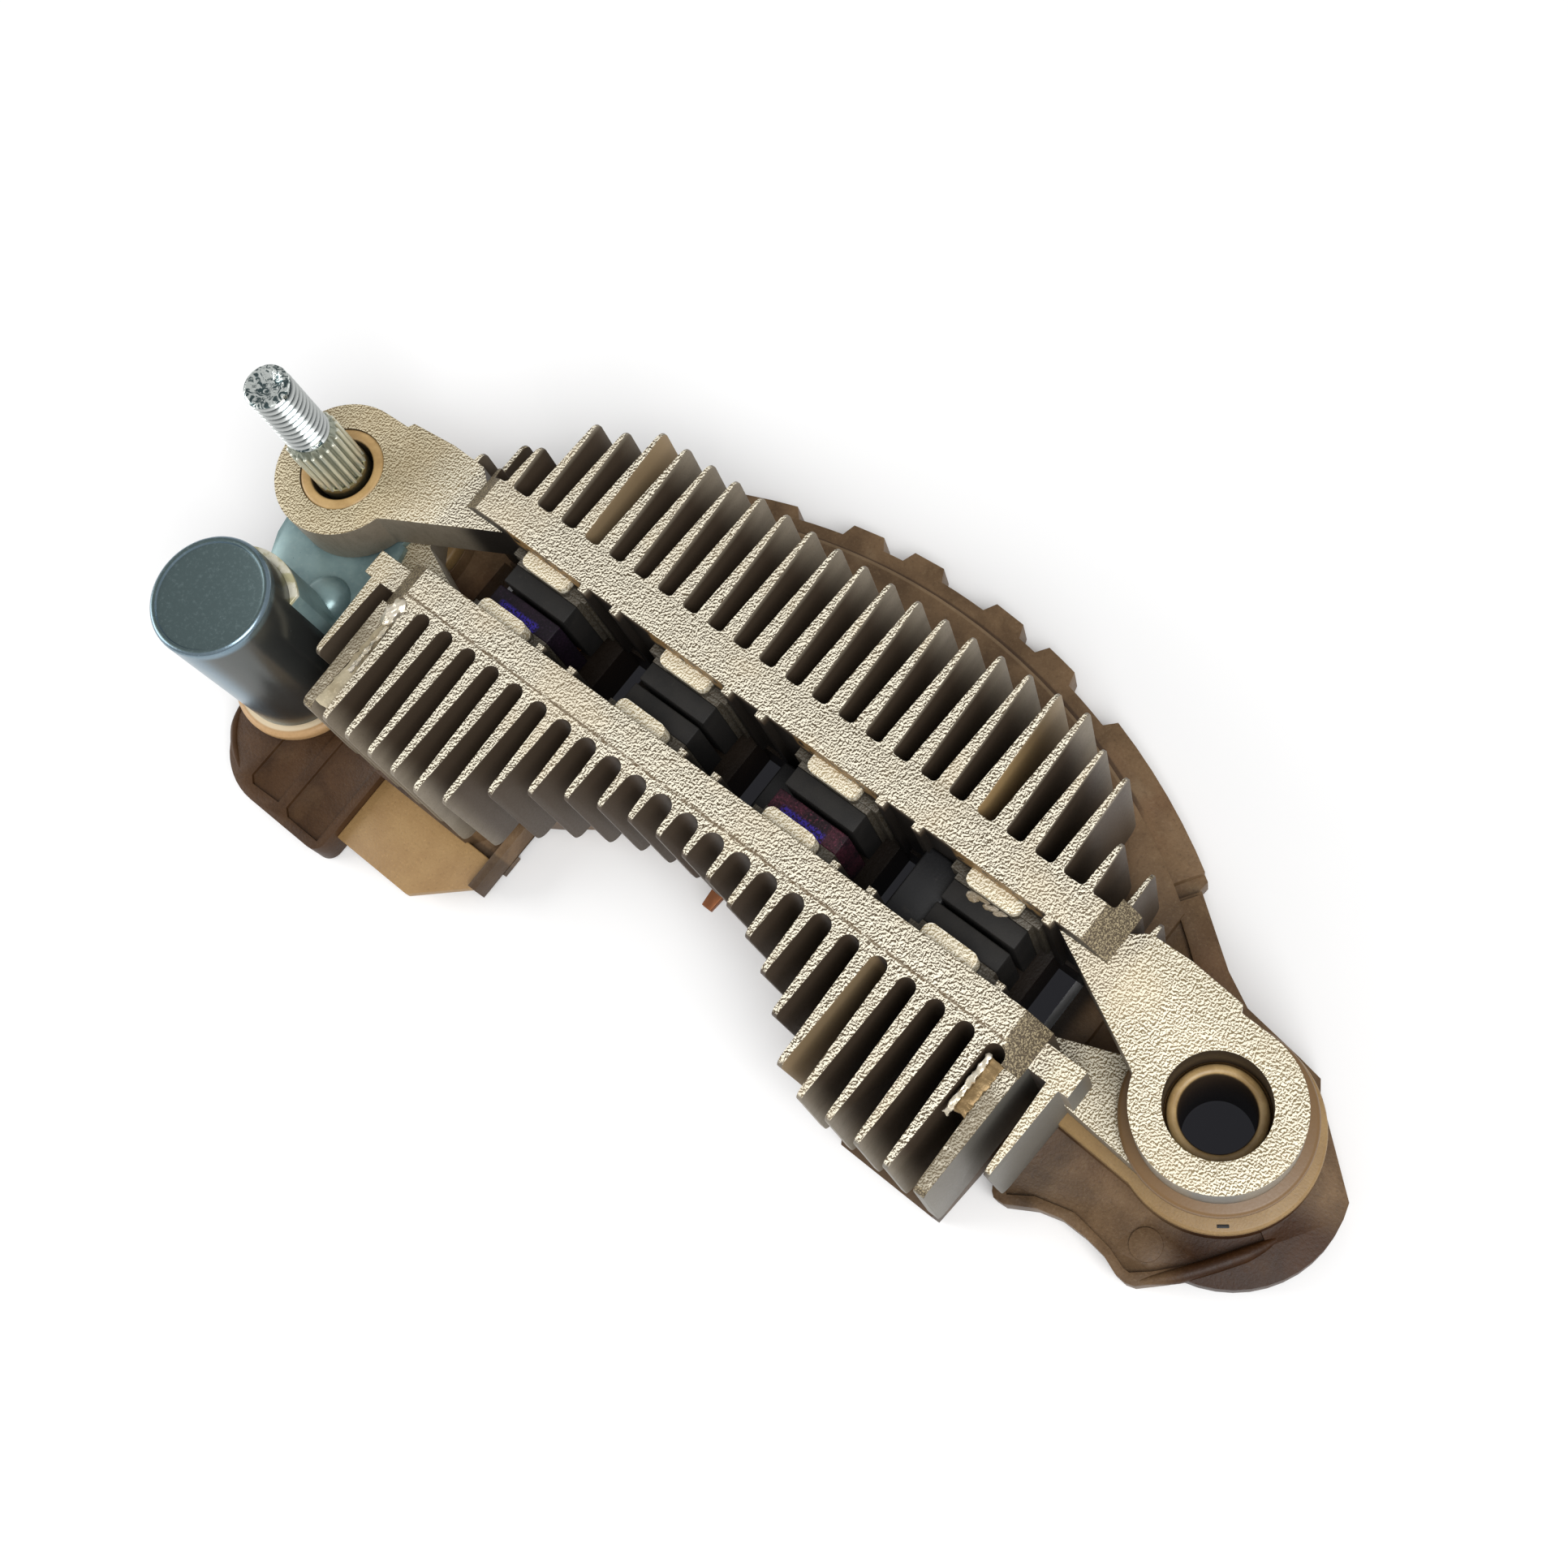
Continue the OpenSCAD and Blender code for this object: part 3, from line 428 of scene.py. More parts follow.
# steel whose grooves are darker than its crests, by their distance from the stud's axis: painted
# shade with dirt in the grooves
def groovedSteel(name, grooveR, crestR, grooveDirtAndShade, crest, amount):
    s = Shade(name, Metallic=amount)
    fine = s.noise(steelLook["fine"], 3)
    colour = s.mix(s.step(s.reach(-boltX, 0), grooveR, crestR), rgb(*grooveDirtAndShade), rgb(*crest))
    colour = s.mix(s.step(fine, 0.5, 0.75) * 0.3, colour, scaled(crest, 0.8))
    return s.dress(colour, 0.16 + 0.14 * fine, s.bump(fine, steelLook["depth"]))


swirlLook = {"dark": (74, 90, 92), "light": (226, 232, 228), "swirl": 0.9, "fine": 0.25,
             "depth": 0.06}


# bright steel, darker in swirls
def swirledSteel():
    look = swirlLook
    s = Shade("swirledSteel", Metallic=0.9)
    swirl = s.noise(look["swirl"], 2, 0.5, distort=2.2)
    fine = s.noise(look["fine"], 3)
    colour = s.mix(s.step(swirl, 0.42, 0.58), rgb(*look["dark"]), rgb(*look["light"]))
    return s.dress(colour, 0.14 + 0.16 * fine, s.bump(swirl + 0.3 * fine, look["depth"]))


# the cap's colours and the band are painted reflection
canLook = {"cap": (90, 106, 107), "capSpeck": (132, 150, 152), "side": (118, 138, 150),
           "sidePatch": (144, 160, 170), "sideSpeck": (186, 198, 204), "band": (92, 88, 80),
           "speck": 0.3, "patch": 5, "darkReflection": (0.5, 3.2), "darkReflectionZ": (27.3, 26.6), "depth": 0.004}


# drawn can: flat speckled cap in a dark painted reflection, bright wall with a painted dark
# reflection towards the heatsink
def canMetal():
    look = canLook
    s = Shade("canMetal", Metallic=0.85)
    cap = s.step(s.towards("Z"), 0.9, 0.97)
    speck = s.noise(look["speck"], 3, 0.6)
    broad = s.noise(look["patch"], 2)
    # painted reflection: the cap's dark colours
    top = s.mix(s.step(speck, 0.5, 0.75) * 0.35, rgb(*look["cap"]), rgb(*look["capSpeck"]))
    side = s.mix(s.step(broad, 0.35, 0.65) * 0.25, rgb(*look["side"]), rgb(*look["sidePatch"]))
    side = s.mix(s.step(speck, 0.5, 0.75) * 0.15, side, rgb(*look["sideSpeck"]))
    # painted reflection: the wall darker on the side towards the heatsink
    darkReflection = s.step(s.along(0) - canAxis[0] + 0.35 * (s.along(1) - canAxis[1]), *look["darkReflection"])
    side = s.mix(darkReflection * s.step(s.along(2), *look["darkReflectionZ"]) * 0.8, side, rgb(*look["band"]))
    return s.dress(s.mix(cap, side, top), 0.2 + 0.1 * cap + 0.1 * speck,
                   s.bump(speck, look["depth"]))


bracketLook = {"main": (138, 162, 162), "shade": (116, 140, 142), "grain": (162, 176, 172),
               "saddleHighlight": (196, 190, 150), "saddleHighlightPale": (236, 232, 212), "saddleHighlightZ": (23.0, 23.2),
               "fine": 0.4, "patch": 4, "saddleHighlightPatch": 1.1, "depth": 0.006}


# zinc plated bracket with a painted yellow-white highlight along the top of its saddle
def bracketSteel():
    look = bracketLook
    s = Shade("zincSteel", Metallic=0.4)
    fine = s.noise(look["fine"], 3)
    colour = s.mix(s.step(s.noise(look["patch"], 3), 0.3, 0.7), rgb(*look["main"]),
                   rgb(*look["shade"]))
    colour = s.mix(s.step(fine, 0.5, 0.8) * 0.3, colour, rgb(*look["grain"]))
    # painted highlight along the top of the saddle
    saddleHighlight = s.mix(s.step(s.noise(look["saddleHighlightPatch"], 2), 0.4, 0.6), rgb(*look["saddleHighlight"]),
                  rgb(*look["saddleHighlightPale"]))
    colour = s.mix(s.step(s.along(2), *look["saddleHighlightZ"]), colour, saddleHighlight)
    return s.dress(colour, 0.24 + 0.12 * fine, s.bump(fine, look["depth"]))


sealLook = {"main": (178, 142, 98), "shade": (160, 124, 82), "lip": (214, 198, 168),
            "lipR": (7.35, 7.1), "fine": 0.3, "depth": 0.02}


# tan seal with a paler lip at the can's foot
def sealMoulding():
    look = sealLook
    s = Shade("tanSeal")
    fine = s.noise(look["fine"], 3)
    colour = s.mix(s.step(fine, 0.4, 0.7) * 0.4, rgb(*look["main"]), rgb(*look["shade"]))
    colour = s.mix(s.step(s.reach(*canAxis), *look["lipR"]) * 0.8, colour, rgb(*look["lip"]))
    return s.dress(colour, 0.36 + 0.15 * fine, s.bump(fine, look["depth"]))


resinLook = {"blue": (56, 44, 150), "pit": (16, 12, 16), "grain": 0.24, "patch": 3,
             "bandY": (-0.45, -0.8), "bandShift": 0.3, "bandWidth": (2.9, 2.3), "depth": 0.03}


# purple resin whose edge beside the tab is blue and scratched
def purpleResin(name, pairX, main, shade):
    look = resinLook
    s = Shade(name, Specular_IOR_Level=0.2)
    grain = s.noise(look["grain"], 2, 0.6, distort=0.4)
    colour = s.mix(s.step(s.noise(look["patch"], 2), 0.4, 0.62), rgb(*shade), rgb(*main))
    colour = s.mix(s.step(grain, 0.56, 0.7) * 0.5, colour, scaled(main, 1.9))
    colour = s.mix(s.step(grain, 0.48, 0.38) * 0.6, colour, rgb(*look["pit"]))
    band = s.step(s.along(1) + 0.5 * grain, *look["bandY"])
    band = band * s.step(abs(s.along(0) - pairX + look["bandShift"]), *look["bandWidth"])
    colour = s.mix(band * s.step(grain, 0.4, 0.56) * 0.9, colour, rgb(*look["blue"]))
    return s.dress(colour, 0.45 + 0.2 * grain, s.bump(grain, look["depth"]))


print("materials")
finishes = {
    "cast_aluminium": castAluminium(),
    "tan_insulation": moulded("tanInsulation", (150, 122, 80), (137, 109, 69), 0.4, dusty=0.06),
    "stud_steel": metal("studSteel", (186, 192, 192), (150, 156, 154), 0.2, 0.3),
    "brown_moulding": frameMoulding(),
    "can_metal": canMetal(),
    "tan_seal": sealMoulding(),
    "zinc_steel": bracketSteel(),
    "grey_epoxy": moulded("greyEpoxy", (35, 33, 31), (27, 26, 25), 0.55, 0.18, 0.02, 0.3, 0.04, 3),
    "purple_epoxy": moulded("purpleEpoxy", (48, 30, 38), (32, 22, 32), 0.38, 0.22),
    "plated_base": platedBase(),
    "copper_lead": metal("copperLead", (150, 96, 62), (120, 76, 50), 0.35, 0.4, amount=0.8),
    "black_cover": moulded("blackCover", (30, 29, 30), (21, 21, 23), 0.34, 0.25, 0.01, 0.5, 0.05),
}
# finishes of single pieces, by node or by what they are
special = {
    "inner_diode_1": purpleResin("plumResin", -28.8, (29, 19, 30), (23, 16, 25)),
    "inner_diode_3": purpleResin("maroonResin", 9.6, (62, 30, 40), (34, 22, 28)),
    "terminal_plate": moulded("tanPlate", (157, 126, 82), (143, 111, 69), 0.4, 0.3, dusty=0.06),
    "stud_bush": bushMoulding("tanBush", -boltX, (182, 150, 100), (162, 130, 82), (48, 40, 28)),
    "bolt_bush": bushMoulding("boltBush", boltX, (186, 156, 106), (160, 130, 84), (50, 40, 32)),
    "glob": metal("brightFlash", (236, 226, 206), (206, 194, 168), 0.22, 0.4, 0.05, 0.7),
    "skin": metal("slotSkin", (196, 184, 156), (146, 130, 100), 0.4, 0.35, 0.06, 0.3),
    "gold": metal("goldFlash", (150, 126, 88), (128, 104, 68), 0.34, 0.3, 0.04, 0.5),
    "flux": moulded("paleFlux", (196, 190, 178), (120, 104, 78), 0.3, 0.3, 0.05),
    "collar": metal("yellowZinc", (150, 142, 112), (122, 114, 88), 0.3, 0.3),
    "splines": groovedSteel("greenZinc", 2.7, 2.9, (142, 146, 130), (220, 221, 204), 0.55),
    "core": swirledSteel(),
    "thread": groovedSteel("threadSteel", 2.12, 2.42, (50, 62, 64), (236, 240, 238), 0.9),
}
slotOf = {part["node"]: part["material_slot"] for part in frame["record"]["subparts"]}
for name, piece in frame["nodes"].items():
    piece.data.materials.clear()
    piece.data.materials.append(finishes[slotOf[name]])


def deselect():
    if bpy.context.object and bpy.context.object.mode != "OBJECT":
        bpy.ops.object.mode_set(mode="OBJECT")
    bpy.ops.object.select_all(action="DESELECT")


def work(piece):
    deselect()
    piece.select_set(True)
    bpy.context.view_layer.objects.active = piece


def editing():
    bpy.ops.object.mode_set(mode="EDIT")
    bpy.ops.mesh.select_all(action="SELECT")


def done():
    bpy.ops.object.mode_set(mode="OBJECT")


# select the open piece's corners that a test on their place picks
def pick(test):
    mesh = bmesh.from_edit_mesh(bpy.context.object.data)
    bpy.ops.mesh.select_all(action="DESELECT")
    for corner in mesh.verts:
        if test(corner.co):
            corner.select_set(True)
    mesh.select_flush_mode()
    bmesh.update_edit_mesh(bpy.context.object.data)


# put place, turn and size into the mesh
def bake(piece):
    work(piece)
    bpy.ops.object.transform_apply(location=True, rotation=True, scale=True)


def modify(piece, kind, **settings):
    work(piece)
    modifier = piece.modifiers.new("step", kind)
    for name, value in settings.items():
        setattr(modifier, name, value)
    bpy.ops.object.modifier_apply(modifier="step")


def soften(piece, width, angle, segments=2):
    modify(piece, "BEVEL", width=width * mm, segments=segments, limit_method="ANGLE",
           angle_limit=math.radians(angle))


# what counts as one corner, in mm, and as one flat or smooth surface, in degrees
meshLook = {"merge": 0.004, "finerMerge": 0.002, "flat": 0.6, "smooth": 35}


def tidyMesh(piece, angle=meshLook["smooth"]):
    work(piece)
    editing()
    bpy.ops.mesh.remove_doubles(threshold=meshLook["merge"] * mm)
    bpy.ops.mesh.normals_make_consistent(inside=False)
    done()
    bpy.ops.object.shade_smooth_by_angle(angle=math.radians(angle))


# name a finished piece, give it its finish, and let it ride for the nodes it stands for
def carry(piece, name, slot, nodes=(), finish=None):
    bake(piece)
    piece.name = piece.data.name = name
    piece.data.materials.clear()
    piece.data.materials.append(finish or finishes[slot])
    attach(piece, "root")
    for node in nodes:
        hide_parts(node)


# forms that the castings and mouldings lack: corners picked by place, and how far they go, in mm
reshape = {
    "inner_heatsink": [
        (lambda x, y, z: y < -20 and (x > 24.9 or x < -21.6), (0, -0.75, 0)),
        (lambda x, y, z: y < -20.5 and z < 8 and (x > 24.9 or x < -21.6), (0, -0.6, 0))],
    "outer_heatsink": [
        (lambda x, y, z: y > 11.2 and (38.4 < x < 40.4 or -41.4 < x < -39.4), (0, 0.6, 0)),
        (lambda x, y, z: y > 7.4 and 11.5 < z < 13.2 and (38.4 < x < 40.4 or -41.4 < x < -39.4),
         (0, 0, -5.1))],
    "bolt_bush": [(lambda x, y, z: z > 18.5, (0, 0, -3.5))],
    "terminal_frame": [(lambda x, y, z: -19.5 < x < -19.3 and y < -14.1, (-0.6, 0, 0))],
}
# widths of the softened edges, in mm
softEdges = {"outer_heatsink": 0.2, "inner_heatsink": 0.2, "terminal_frame": 0.3,
             "terminal_plate": 0.15, "right_insulating_plate": 0.35,
             "left_insulating_plate": 0.35, "bolt_bush": 0.4, "capacitor_seal": 0.6,
             "lead_cover_1": 0.25, "lead_cover_2": 0.3, "stud_bush": 0.55,
             "capacitor_bracket": 0.2}
for n in range(1, 5):
    softEdges["outer_diode_%d" % n] = softEdges["inner_diode_%d" % n] = 0.15
    softEdges["outer_diode_base_%d" % n] = softEdges["inner_diode_base_%d" % n] = 0.2
    softEdges["phase_lead_%d" % n] = 0.1
softCorner = {"angle": 28, "wide": 0.5, "segments": 2, "wideSegments": 5}


# a copy of a CAD node with its triangles merged into faces and its edges rounded
def softCopy(node, width):
    piece = bpy.data.objects.new(node + "_shape", frame["nodes"][node].data.copy())
    bpy.context.scene.collection.objects.link(piece)
    work(piece)
    editing()
    bpy.ops.mesh.remove_doubles(threshold=meshLook["finerMerge"] * mm)
    bpy.ops.mesh.dissolve_limited(angle_limit=math.radians(meshLook["flat"]))
    for test, shift in reshape.get(node, []):
        pick(lambda place: test(*(v / mm for v in place)))
        bpy.ops.transform.translate(value=[v * mm for v in shift])
    done()
    wide = width > softCorner["wide"]
    soften(piece, width, softCorner["angle"], softCorner["wideSegments" if wide else "segments"])
    bpy.ops.object.shade_smooth_by_angle(angle=math.radians(meshLook["smooth"]))
    return piece


# an open line of corners, pulled out from one point, about an upright axis
def drawLine(points, axis=(0, 0)):
    deselect()
    bpy.ops.mesh.primitive_plane_add(size=mm, location=(axis[0] * mm, axis[1] * mm, 0))
    editing()
    bpy.ops.mesh.merge(type="CENTER")
    bpy.ops.transform.translate(value=[v * mm for v in points[0]])
    for before, after in zip(points, points[1:]):
        bpy.ops.mesh.extrude_vertices_move(
            TRANSFORM_OT_translate={"value": [(b - a) * mm for a, b in zip(before, after)]})
    done()
    return bpy.context.object


# a turned piece from (radius, height) steps
def turn(steps, axis, around=72):
    piece = drawLine([(r, 0, z) for r, z in steps], axis)
    editing()
    bpy.ops.mesh.spin(steps=around, angle=math.tau, center=(axis[0] * mm, axis[1] * mm, 0),
                      axis=(0, 0, 1))
    done()
    tidyMesh(piece)
    return piece


beadLook = {"along": 6, "around": 4}


# a round bead laid along points
def bead(points, radius, ends=1.0):
    curve = bpy.data.curves.new("bead", "CURVE")
    curve.dimensions = "3D"
    line = curve.splines.new("NURBS")
    line.points.add(len(points) - 1)
    for corner, place in zip(line.points, points):
        corner.co = [v * mm for v in place] + [1]
    line.points[0].radius = line.points[-1].radius = ends
    line.order_u = 3
    line.use_endpoint_u = True
    line.resolution_u = beadLook["along"]
    curve.bevel_depth = radius * mm
    curve.bevel_resolution = beadLook["around"]
    curve.use_fill_caps = True
    piece = bpy.data.objects.new("bead", curve)
    bpy.context.scene.collection.objects.link(piece)
    work(piece)
    bpy.ops.object.convert(target="MESH")
    piece = bpy.context.object
    tidyMesh(piece)
    return piece


print("castings")
for node, width in softEdges.items():
    carry(softCopy(node, width), node + "_shape", slotOf[node], [node], special.get(node))

print("stud")
studLook = {
    "axis": (-boltX, 0),
    # (radius, height) steps below and above the thread's root, and of the collar
    "foot": [(0, 5.4), (5.0, 5.4), (5.2, 5.6), (5.2, 8.0), (4.8, 8.0), (4.8, 12.5), (2.7, 12.5),
             (2.7, 20.3), (2.6, 20.9), (2.6, 27.6), (2.3, 28.2)],
    "rootZ": (28.4, 37.1),
    "tip": [(2.38, 37.35), (2.46, 37.5), (2.4, 37.68), (2.2, 37.79), (1.9, 37.8), (1.55, 37.66),
            (1.2, 37.5), (0.5, 37.42), (0, 37.42)],
    "collar": [(2.6, 13.5), (2.9, 13.5), (2.9, 19.2), (3.06, 19.4), (3.06, 20.3), (2.95, 20.6),
               (2.7, 20.7)],
    "collarWall": 0.2,
    "pitch": 0.8, "turns": 11, "crest": 2.5, "root": 2.1, "round": 0.05, "around": 44,
    "threadStart": 28.0,
    "splineR": 3.0, "splineDepth": 0.34, "splines": 20, "splineZ": (19.9, 28.1),
    # the splines' upper end: rim, what lies outside it, and how far that drops
    "endAbove": 3, "endInset": 0.2, "endOutside": 2.62, "endDrop": 0.7, "splineEdge": 0.06,
}


def makeStudCore():
    look = studLook
    low, high = look["rootZ"]
    steps = look["foot"] + [(look["root"], low), (look["root"], high)] + look["tip"]
    carry(turn(steps, look["axis"]), "output_stud_core", "stud_steel", ["output_stud"],
          special["core"])


def makeStudThread():
    look = studLook
    crest, root, pitch = look["crest"], look["root"], look["pitch"]
    flank = crest - look["round"]
    # one turn's profile, its heights as shares of the pitch
    profile = [(root, 0), (flank, 0.3), (crest, 0.38), (flank, 0.46), (root, 0.8), (root, 1)]
    thread = drawLine([(r, 0, share * pitch) for r, share in profile], look["axis"])
    modify(thread, "SCREW", axis="Z", angle=math.tau, screw_offset=pitch * mm,
           iterations=look["turns"], steps=look["around"], render_steps=look["around"],
           use_merge_vertices=True, merge_threshold=meshLook["finerMerge"] * mm)
    work(thread)
    thread.location.z = look["threadStart"] * mm
    tidyMesh(thread, 30)
    carry(thread, "output_stud_thread", "stud_steel", finish=special["thread"])


def makeStudSplines():
    look = studLook
    low, high = look["splineZ"]
    middle = (low + high) / 2
    around = look["splines"] * 4  # two corners on each crest and two in each groove
    centre = Vector((look["axis"][0] * mm, look["axis"][1] * mm, middle * mm))
    deselect()
    bpy.ops.mesh.primitive_cylinder_add(vertices=around, radius=look["splineR"] * mm,
                                        depth=(high - low) * mm, location=centre)
    splines = bpy.context.object
    bake(splines)
    editing()
    shrink = 1 - look["splineDepth"] / look["splineR"]
    pick(lambda p: round(math.atan2(p.y - centre.y, p.x - centre.x) / math.tau * around) % 4 < 2)
    bpy.ops.transform.resize(value=(shrink, shrink, 1), center_override=centre)
    end = centre.z + look["endAbove"] * mm
    pick(lambda p: p.z > end)
    bpy.ops.mesh.inset(thickness=look["endInset"] * mm)
    pick(lambda p: p.z > end and (p.xy - centre.xy).length > look["endOutside"] * mm)
    bpy.ops.transform.translate(value=(0, 0, -look["endDrop"] * mm))
    done()
    tidyMesh(splines, 30)
    soften(splines, look["splineEdge"], 30)
    carry(splines, "output_stud_splines", "stud_steel", finish=special["splines"])


def makeStudCollar():
    sleeve = turn(studLook["collar"], studLook["axis"])
    modify(sleeve, "SOLIDIFY", thickness=studLook["collarWall"] * mm, offset=-1)
    carry(sleeve, "output_stud_collar", "stud_steel", finish=special["collar"])


makeStudCore()
makeStudThread()
makeStudSplines()
makeStudCollar()

print("capacitor")
capacitor = {"foot": 7.1, "top": 28.0, "r": 6.7, "roll": 0.55, "recess": 0.25,
             "rollAngles": (0, 0.35, 0.7, 1.05, 1.35, 1.57), "around": 96}


def makeCapacitor():
    r, top, roll = capacitor["r"], capacitor["top"], capacitor["roll"]
    foot, recess = capacitor["foot"], capacitor["recess"]
    rim = [(r - roll * (1 - math.cos(a)), top - roll + roll * math.sin(a))
           for a in capacitor["rollAngles"]]
    steps = [(0, foot), (r - 0.3, foot), (r, foot + 0.3)] + rim
    steps += [(r - roll - 0.18, top - 0.06), (r - roll - 0.3, top - recess),
              (r - roll - 0.5, top - recess - 0.04), (0, top - recess + 0.02)]
    carry(turn(steps, canAxis, capacitor["around"]), "capacitor_can_shape", "can_metal",
          ["capacitor_can"])


dimpleLook = {"centre": (-51.2, -11.7, 13.3), "r": 2.9, "squash": (0.95, 0.95, 0.75),
              "segments": 56, "rings": 32}


# the round dimple pressed up out of the bracket
def makeDimple():
    look = dimpleLook
    centre = [v * mm for v in look["centre"]]
    deselect()
    bpy.ops.mesh.primitive_uv_sphere_add(segments=look["segments"], ring_count=look["rings"],
                                         radius=look["r"] * mm, location=centre)
    dimple = bpy.context.object
    bake(dimple)
    editing()
    bpy.ops.mesh.bisect(plane_co=centre, plane_no=(0, 0, 1), clear_inner=True, use_fill=True)
    bpy.ops.mesh.select_all(action="SELECT")
    bpy.ops.transform.resize(value=look["squash"], center_override=centre)
    done()
    tidyMesh(dimple, 60)
    carry(dimple, "bracket_dimple", "zinc_steel")


makeCapacitor()
makeDimple()

print("frame details")
# beads on the frame's lobes: points, radius
lobeLines = {
    "rightRidge": ([(58.3, -15.6, 3.75), (60.3, -13.6, 3.85), (61.8, -11.6, 3.9), (63.4, -9.3, 3.9),
                    (65.0, -6.8, 3.85), (65.9, -4.6, 3.7)], 0.75),
    "leftRing": ([(-57.6, -26.0, 3.8), (-56.9, -28.1, 3.8), (-55.4, -29.9, 3.8),
                  (-53.6, -31.3, 3.8), (-51.9, -32.2, 3.8)], 0.45),
}
rimBar = {"r": 68.15, "from": 35.4, "to": 46, "z": 3.5, "thick": 1.3, "steps": 8}


def makeFrameDetails():
    for name, (points, radius) in lobeLines.items():
        carry(bead(points, radius, 0.35), "frame_" + name, "brown_moulding")
    along = []
    for n in range(rimBar["steps"] + 1):
        share = n / rimBar["steps"]
        a = math.radians(rimBar["from"] + (rimBar["to"] - rimBar["from"]) * share)
        along.append((shaftAxis[0] + rimBar["r"] * math.sin(a),
                      shaftAxis[1] + rimBar["r"] * math.cos(a), rimBar["z"]))
    carry(bead(along, rimBar["thick"]), "frame_rimBar", "brown_moulding")


makeFrameDetails()

print("flash and flux")
globLook = {"place": (-38.5, -8.7, 21.1), "size": (1.05, 2.1, 0.95), "turnBy": -8, "rough": 0.3,
            "seed": 3}
# slivers of flash: start, end, width, seed, finish
streaks = {
    "slot_skin_left": ((-38.2, -7.6, 21.2), (-38.4, -21.0, 20.6), 1.9, 21, "skin"),
    "slot_flash_left": ((-38.05, -10.5, 21.5), (-38.2, -16.5, 21.4), 0.4, 4, "glob"),
    "slot_flash_right": ((37.95, -8.4, 21.7), (37.9, -15.0, 21.6), 0.55, 8, "glob"),
    "slot_gold_right": ((38.75, -8.6, 21.2), (38.65, -14.2, 21.0), 1.5, 11, "gold"),
}
streakLook = {"pieces": 26, "rows": 3, "ragged": 0.13, "thick": 0.3, "edge": 0.06}
lumpLook = {"fineness": 4, "uniform": 0.3, "normal": 0.8, "smooth": 0.5, "passes": 2}
fluxLook = {"turnStep": 10, "rough": 0.12, "firstSeed": 5}
# blobs of flux: place, half sizes
fluxSpots = [((27.0, 2.6, 18.0), (0.7, 0.5, 0.25)), ((27.9, 3.0, 18.1), (0.9, 0.35, 0.25)),
             ((29.0, 2.7, 18.05), (0.8, 0.3, 0.2)), ((30.1, 2.8, 18.05), (0.8, 0.28, 0.2))]


# a rough rounded lump of flash or flux
def makeLump(name, slot, finish, place, size, turnBy, rough, seed):
    look = lumpLook
    deselect()
    bpy.ops.mesh.primitive_ico_sphere_add(subdivisions=look["fineness"], radius=mm,
                                          location=[v * mm for v in place])
    lump = bpy.context.object
    lump.rotation_euler.z = math.radians(turnBy)
    lump.scale = size
    bake(lump)
    editing()
    bpy.ops.transform.vertex_random(offset=rough * mm, uniform=look["uniform"],
                                    normal=look["normal"], seed=seed)
    bpy.ops.mesh.vertices_smooth(factor=look["smooth"], repeat=look["passes"])
    done()
    tidyMesh(lump, 60)
    carry(lump, name, slot, finish=special[finish])


# a ragged sliver of flash along a slot: a strip whose edges are pushed about
def makeStreak(name, start, end, width, seed, finish):
    look = streakLook
    middle = [(a + b) / 2 * mm for a, b in zip(start, end)]
    deselect()
    bpy.ops.mesh.primitive_grid_add(x_subdivisions=look["pieces"], y_subdivisions=look["rows"],
                                    size=mm, location=middle)
    strip = bpy.context.object
    run = Vector(end) - Vector(start)
    strip.scale = (run.length, width, 1)
    strip.rotation_euler.z = math.atan2(run.y, run.x)
    bake(strip)
    editing()
    bpy.ops.transform.vertex_random(offset=look["ragged"] * mm, uniform=0.6, normal=0, seed=seed)
    done()
    modify(strip, "SOLIDIFY", thickness=look["thick"] * mm, offset=-1)
    soften(strip, look["edge"], 50)
    tidyMesh(strip, 50)
    carry(strip, name, "cast_aluminium", finish=special[finish])


makeLump("slot_glob", "cast_aluminium", "glob", **globLook)
for name, streak in streaks.items():
    makeStreak(name, *streak)
for n, (place, size) in enumerate(fluxSpots):
    makeLump("flux_%d" % (n + 1), "plated_base", "flux", place, size, fluxLook["turnStep"] * n,
             fluxLook["rough"], fluxLook["firstSeed"] + n)

markLook = {"place": (61.6, -7.15, 8.0), "size": (1.1, 0.32, 0.2), "turnBy": 38, "edge": 0.06}


# small dark mark on the tan plate
def makePlateMark():
    deselect()
    bpy.ops.mesh.primitive_cube_add(size=mm, location=[v * mm for v in markLook["place"]])
    mark = bpy.context.object
    mark.scale = markLook["size"]
    mark.rotation_euler.z = math.radians(markLook["turnBy"])
    bake(mark)
    soften(mark, markLook["edge"], 30)
    carry(mark, "plate_mark", "black_cover")


makePlateMark()

print("stage")
stageLook = {"floor": 0.9, "floorSize": 4.0, "floorZ": -0.0003, "cardZ": -0.0001, "world": 0.5,
             "paintedShade": (38, 38, 41), "paintedShadeDark": (6, 6, 7), "paintedShadeLight": (14, 14, 15)}
# painted shade: dark cards on the floor, glowing a little, stand for the shade under the part seen
# through its windows and bore
# what the photograph shows through the windows: places and half sizes of dark cards, in mm
shadeCards = [((0, 5), (36, 12)), ((31, -14.5), (6, 7)), ((-31, -14.5), (6, 7)),
             ((56.5, 0), (5.5, 5.5))]


def makeFloor():
    deselect()
    bpy.ops.mesh.primitive_plane_add(size=stageLook["floorSize"],
                                     location=(0, 0, stageLook["floorZ"]))
    floor = bpy.context.object
    floor.name = "floor"
    white = (stageLook["floor"],) * 3 + (1,)
    floor.data.materials.append(
        Shade("floorWhite", Roughness=0.9, Specular_IOR_Level=0, Base_Color=white).material)


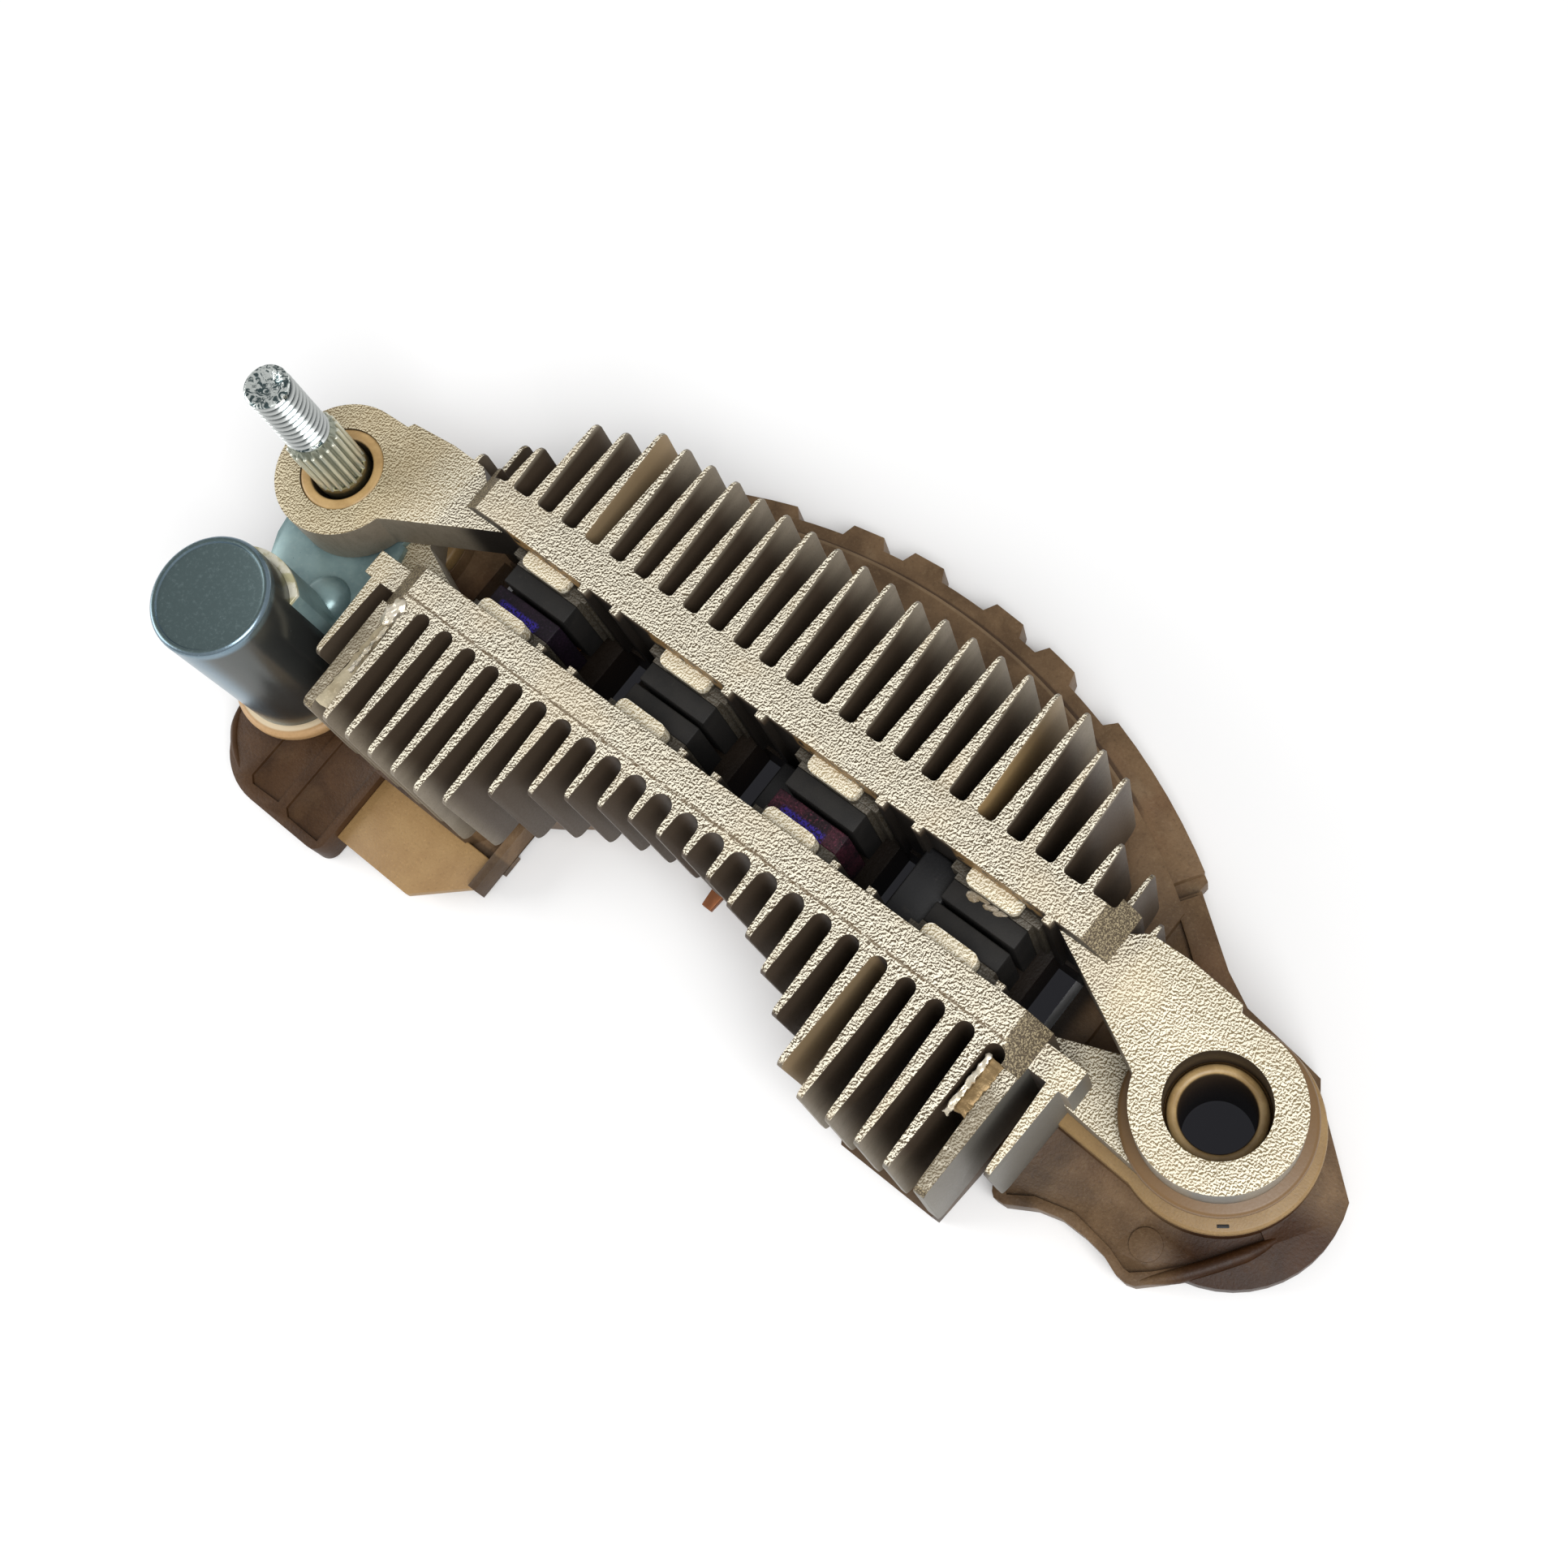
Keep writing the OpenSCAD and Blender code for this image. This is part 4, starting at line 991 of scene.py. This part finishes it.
# dark cards of painted shade, glowing by their emission
def makeCards():
    look = stageLook
    s = Shade("paintedShadeCard", Roughness=1, Specular_IOR_Level=0, Emission_Strength=1,
              Emission_Color=rgb(*look["paintedShade"]))
    s.feed("Base Color", s.mix(s.noise(0.4, 3), rgb(*look["paintedShadeDark"]),
                               rgb(*look["paintedShadeLight"])))
    for n, ((x, y), half) in enumerate(shadeCards):
        deselect()
        bpy.ops.mesh.primitive_plane_add(size=2 * mm, location=(x * mm, y * mm, look["cardZ"]))
        card = bpy.context.object
        card.scale = (*half, 1)
        card.name = "slate_%d" % (n + 1)
        bake(card)
        card.data.materials.append(s.material)


def makeWorld():
    world = bpy.data.worlds.new("studio")
    bpy.context.scene.world = world
    world.use_nodes = True
    sky = world.node_tree.nodes["Background"]
    sky.inputs["Color"].default_value = (1, 1, 1, 1)
    sky.inputs["Strength"].default_value = stageLook["world"]


makeFloor()
makeCards()
makeWorld()

# lights, in metres and watts
softboxes = {"keyRight": ((0.32, -0.12, 0.5), 3.0), "leftSide": ((-0.5, -0.3, 0.25), 1.8)}
softboxLook = {"aim": (0, 0, 0.01), "size": 0.35}


def makeSoftbox(name, place, watts):
    light = bpy.data.lights.new(name, "AREA")
    light.shape = "RECTANGLE"
    light.size = light.size_y = softboxLook["size"]
    light.energy = watts
    lamp = bpy.data.objects.new(name, light)
    bpy.context.scene.collection.objects.link(lamp)
    lamp.location = place
    away = Vector(softboxLook["aim"]) - Vector(place)
    lamp.rotation_euler = away.to_track_quat("-Z", "Y").to_euler()


for name, (place, watts) in softboxes.items():
    makeSoftbox(name, place, watts)

# the photograph's viewpoint, in millimetres, radians and pixels
eye = {"place": (71.6056, -21.6903, 191.6719), "turn": (0.3243862, 0.21050203, 0.68527213),
       "focus": 2386.0818, "width": 1932, "sensor": 36, "clip": (0.01, 20)}


def makeCamera():
    lens = bpy.data.cameras.new("camera")
    lens.sensor_width = eye["sensor"]
    lens.lens = eye["focus"] / eye["width"] * eye["sensor"]
    lens.clip_start, lens.clip_end = eye["clip"]
    camera = bpy.data.objects.new("camera", lens)
    bpy.context.scene.collection.objects.link(camera)
    camera.location = [v * mm for v in eye["place"]]
    camera.rotation_euler = eye["turn"]
    bpy.context.scene.camera = camera


makeCamera()

bpy.context.scene.view_settings.view_transform = "Standard"
print("finish")
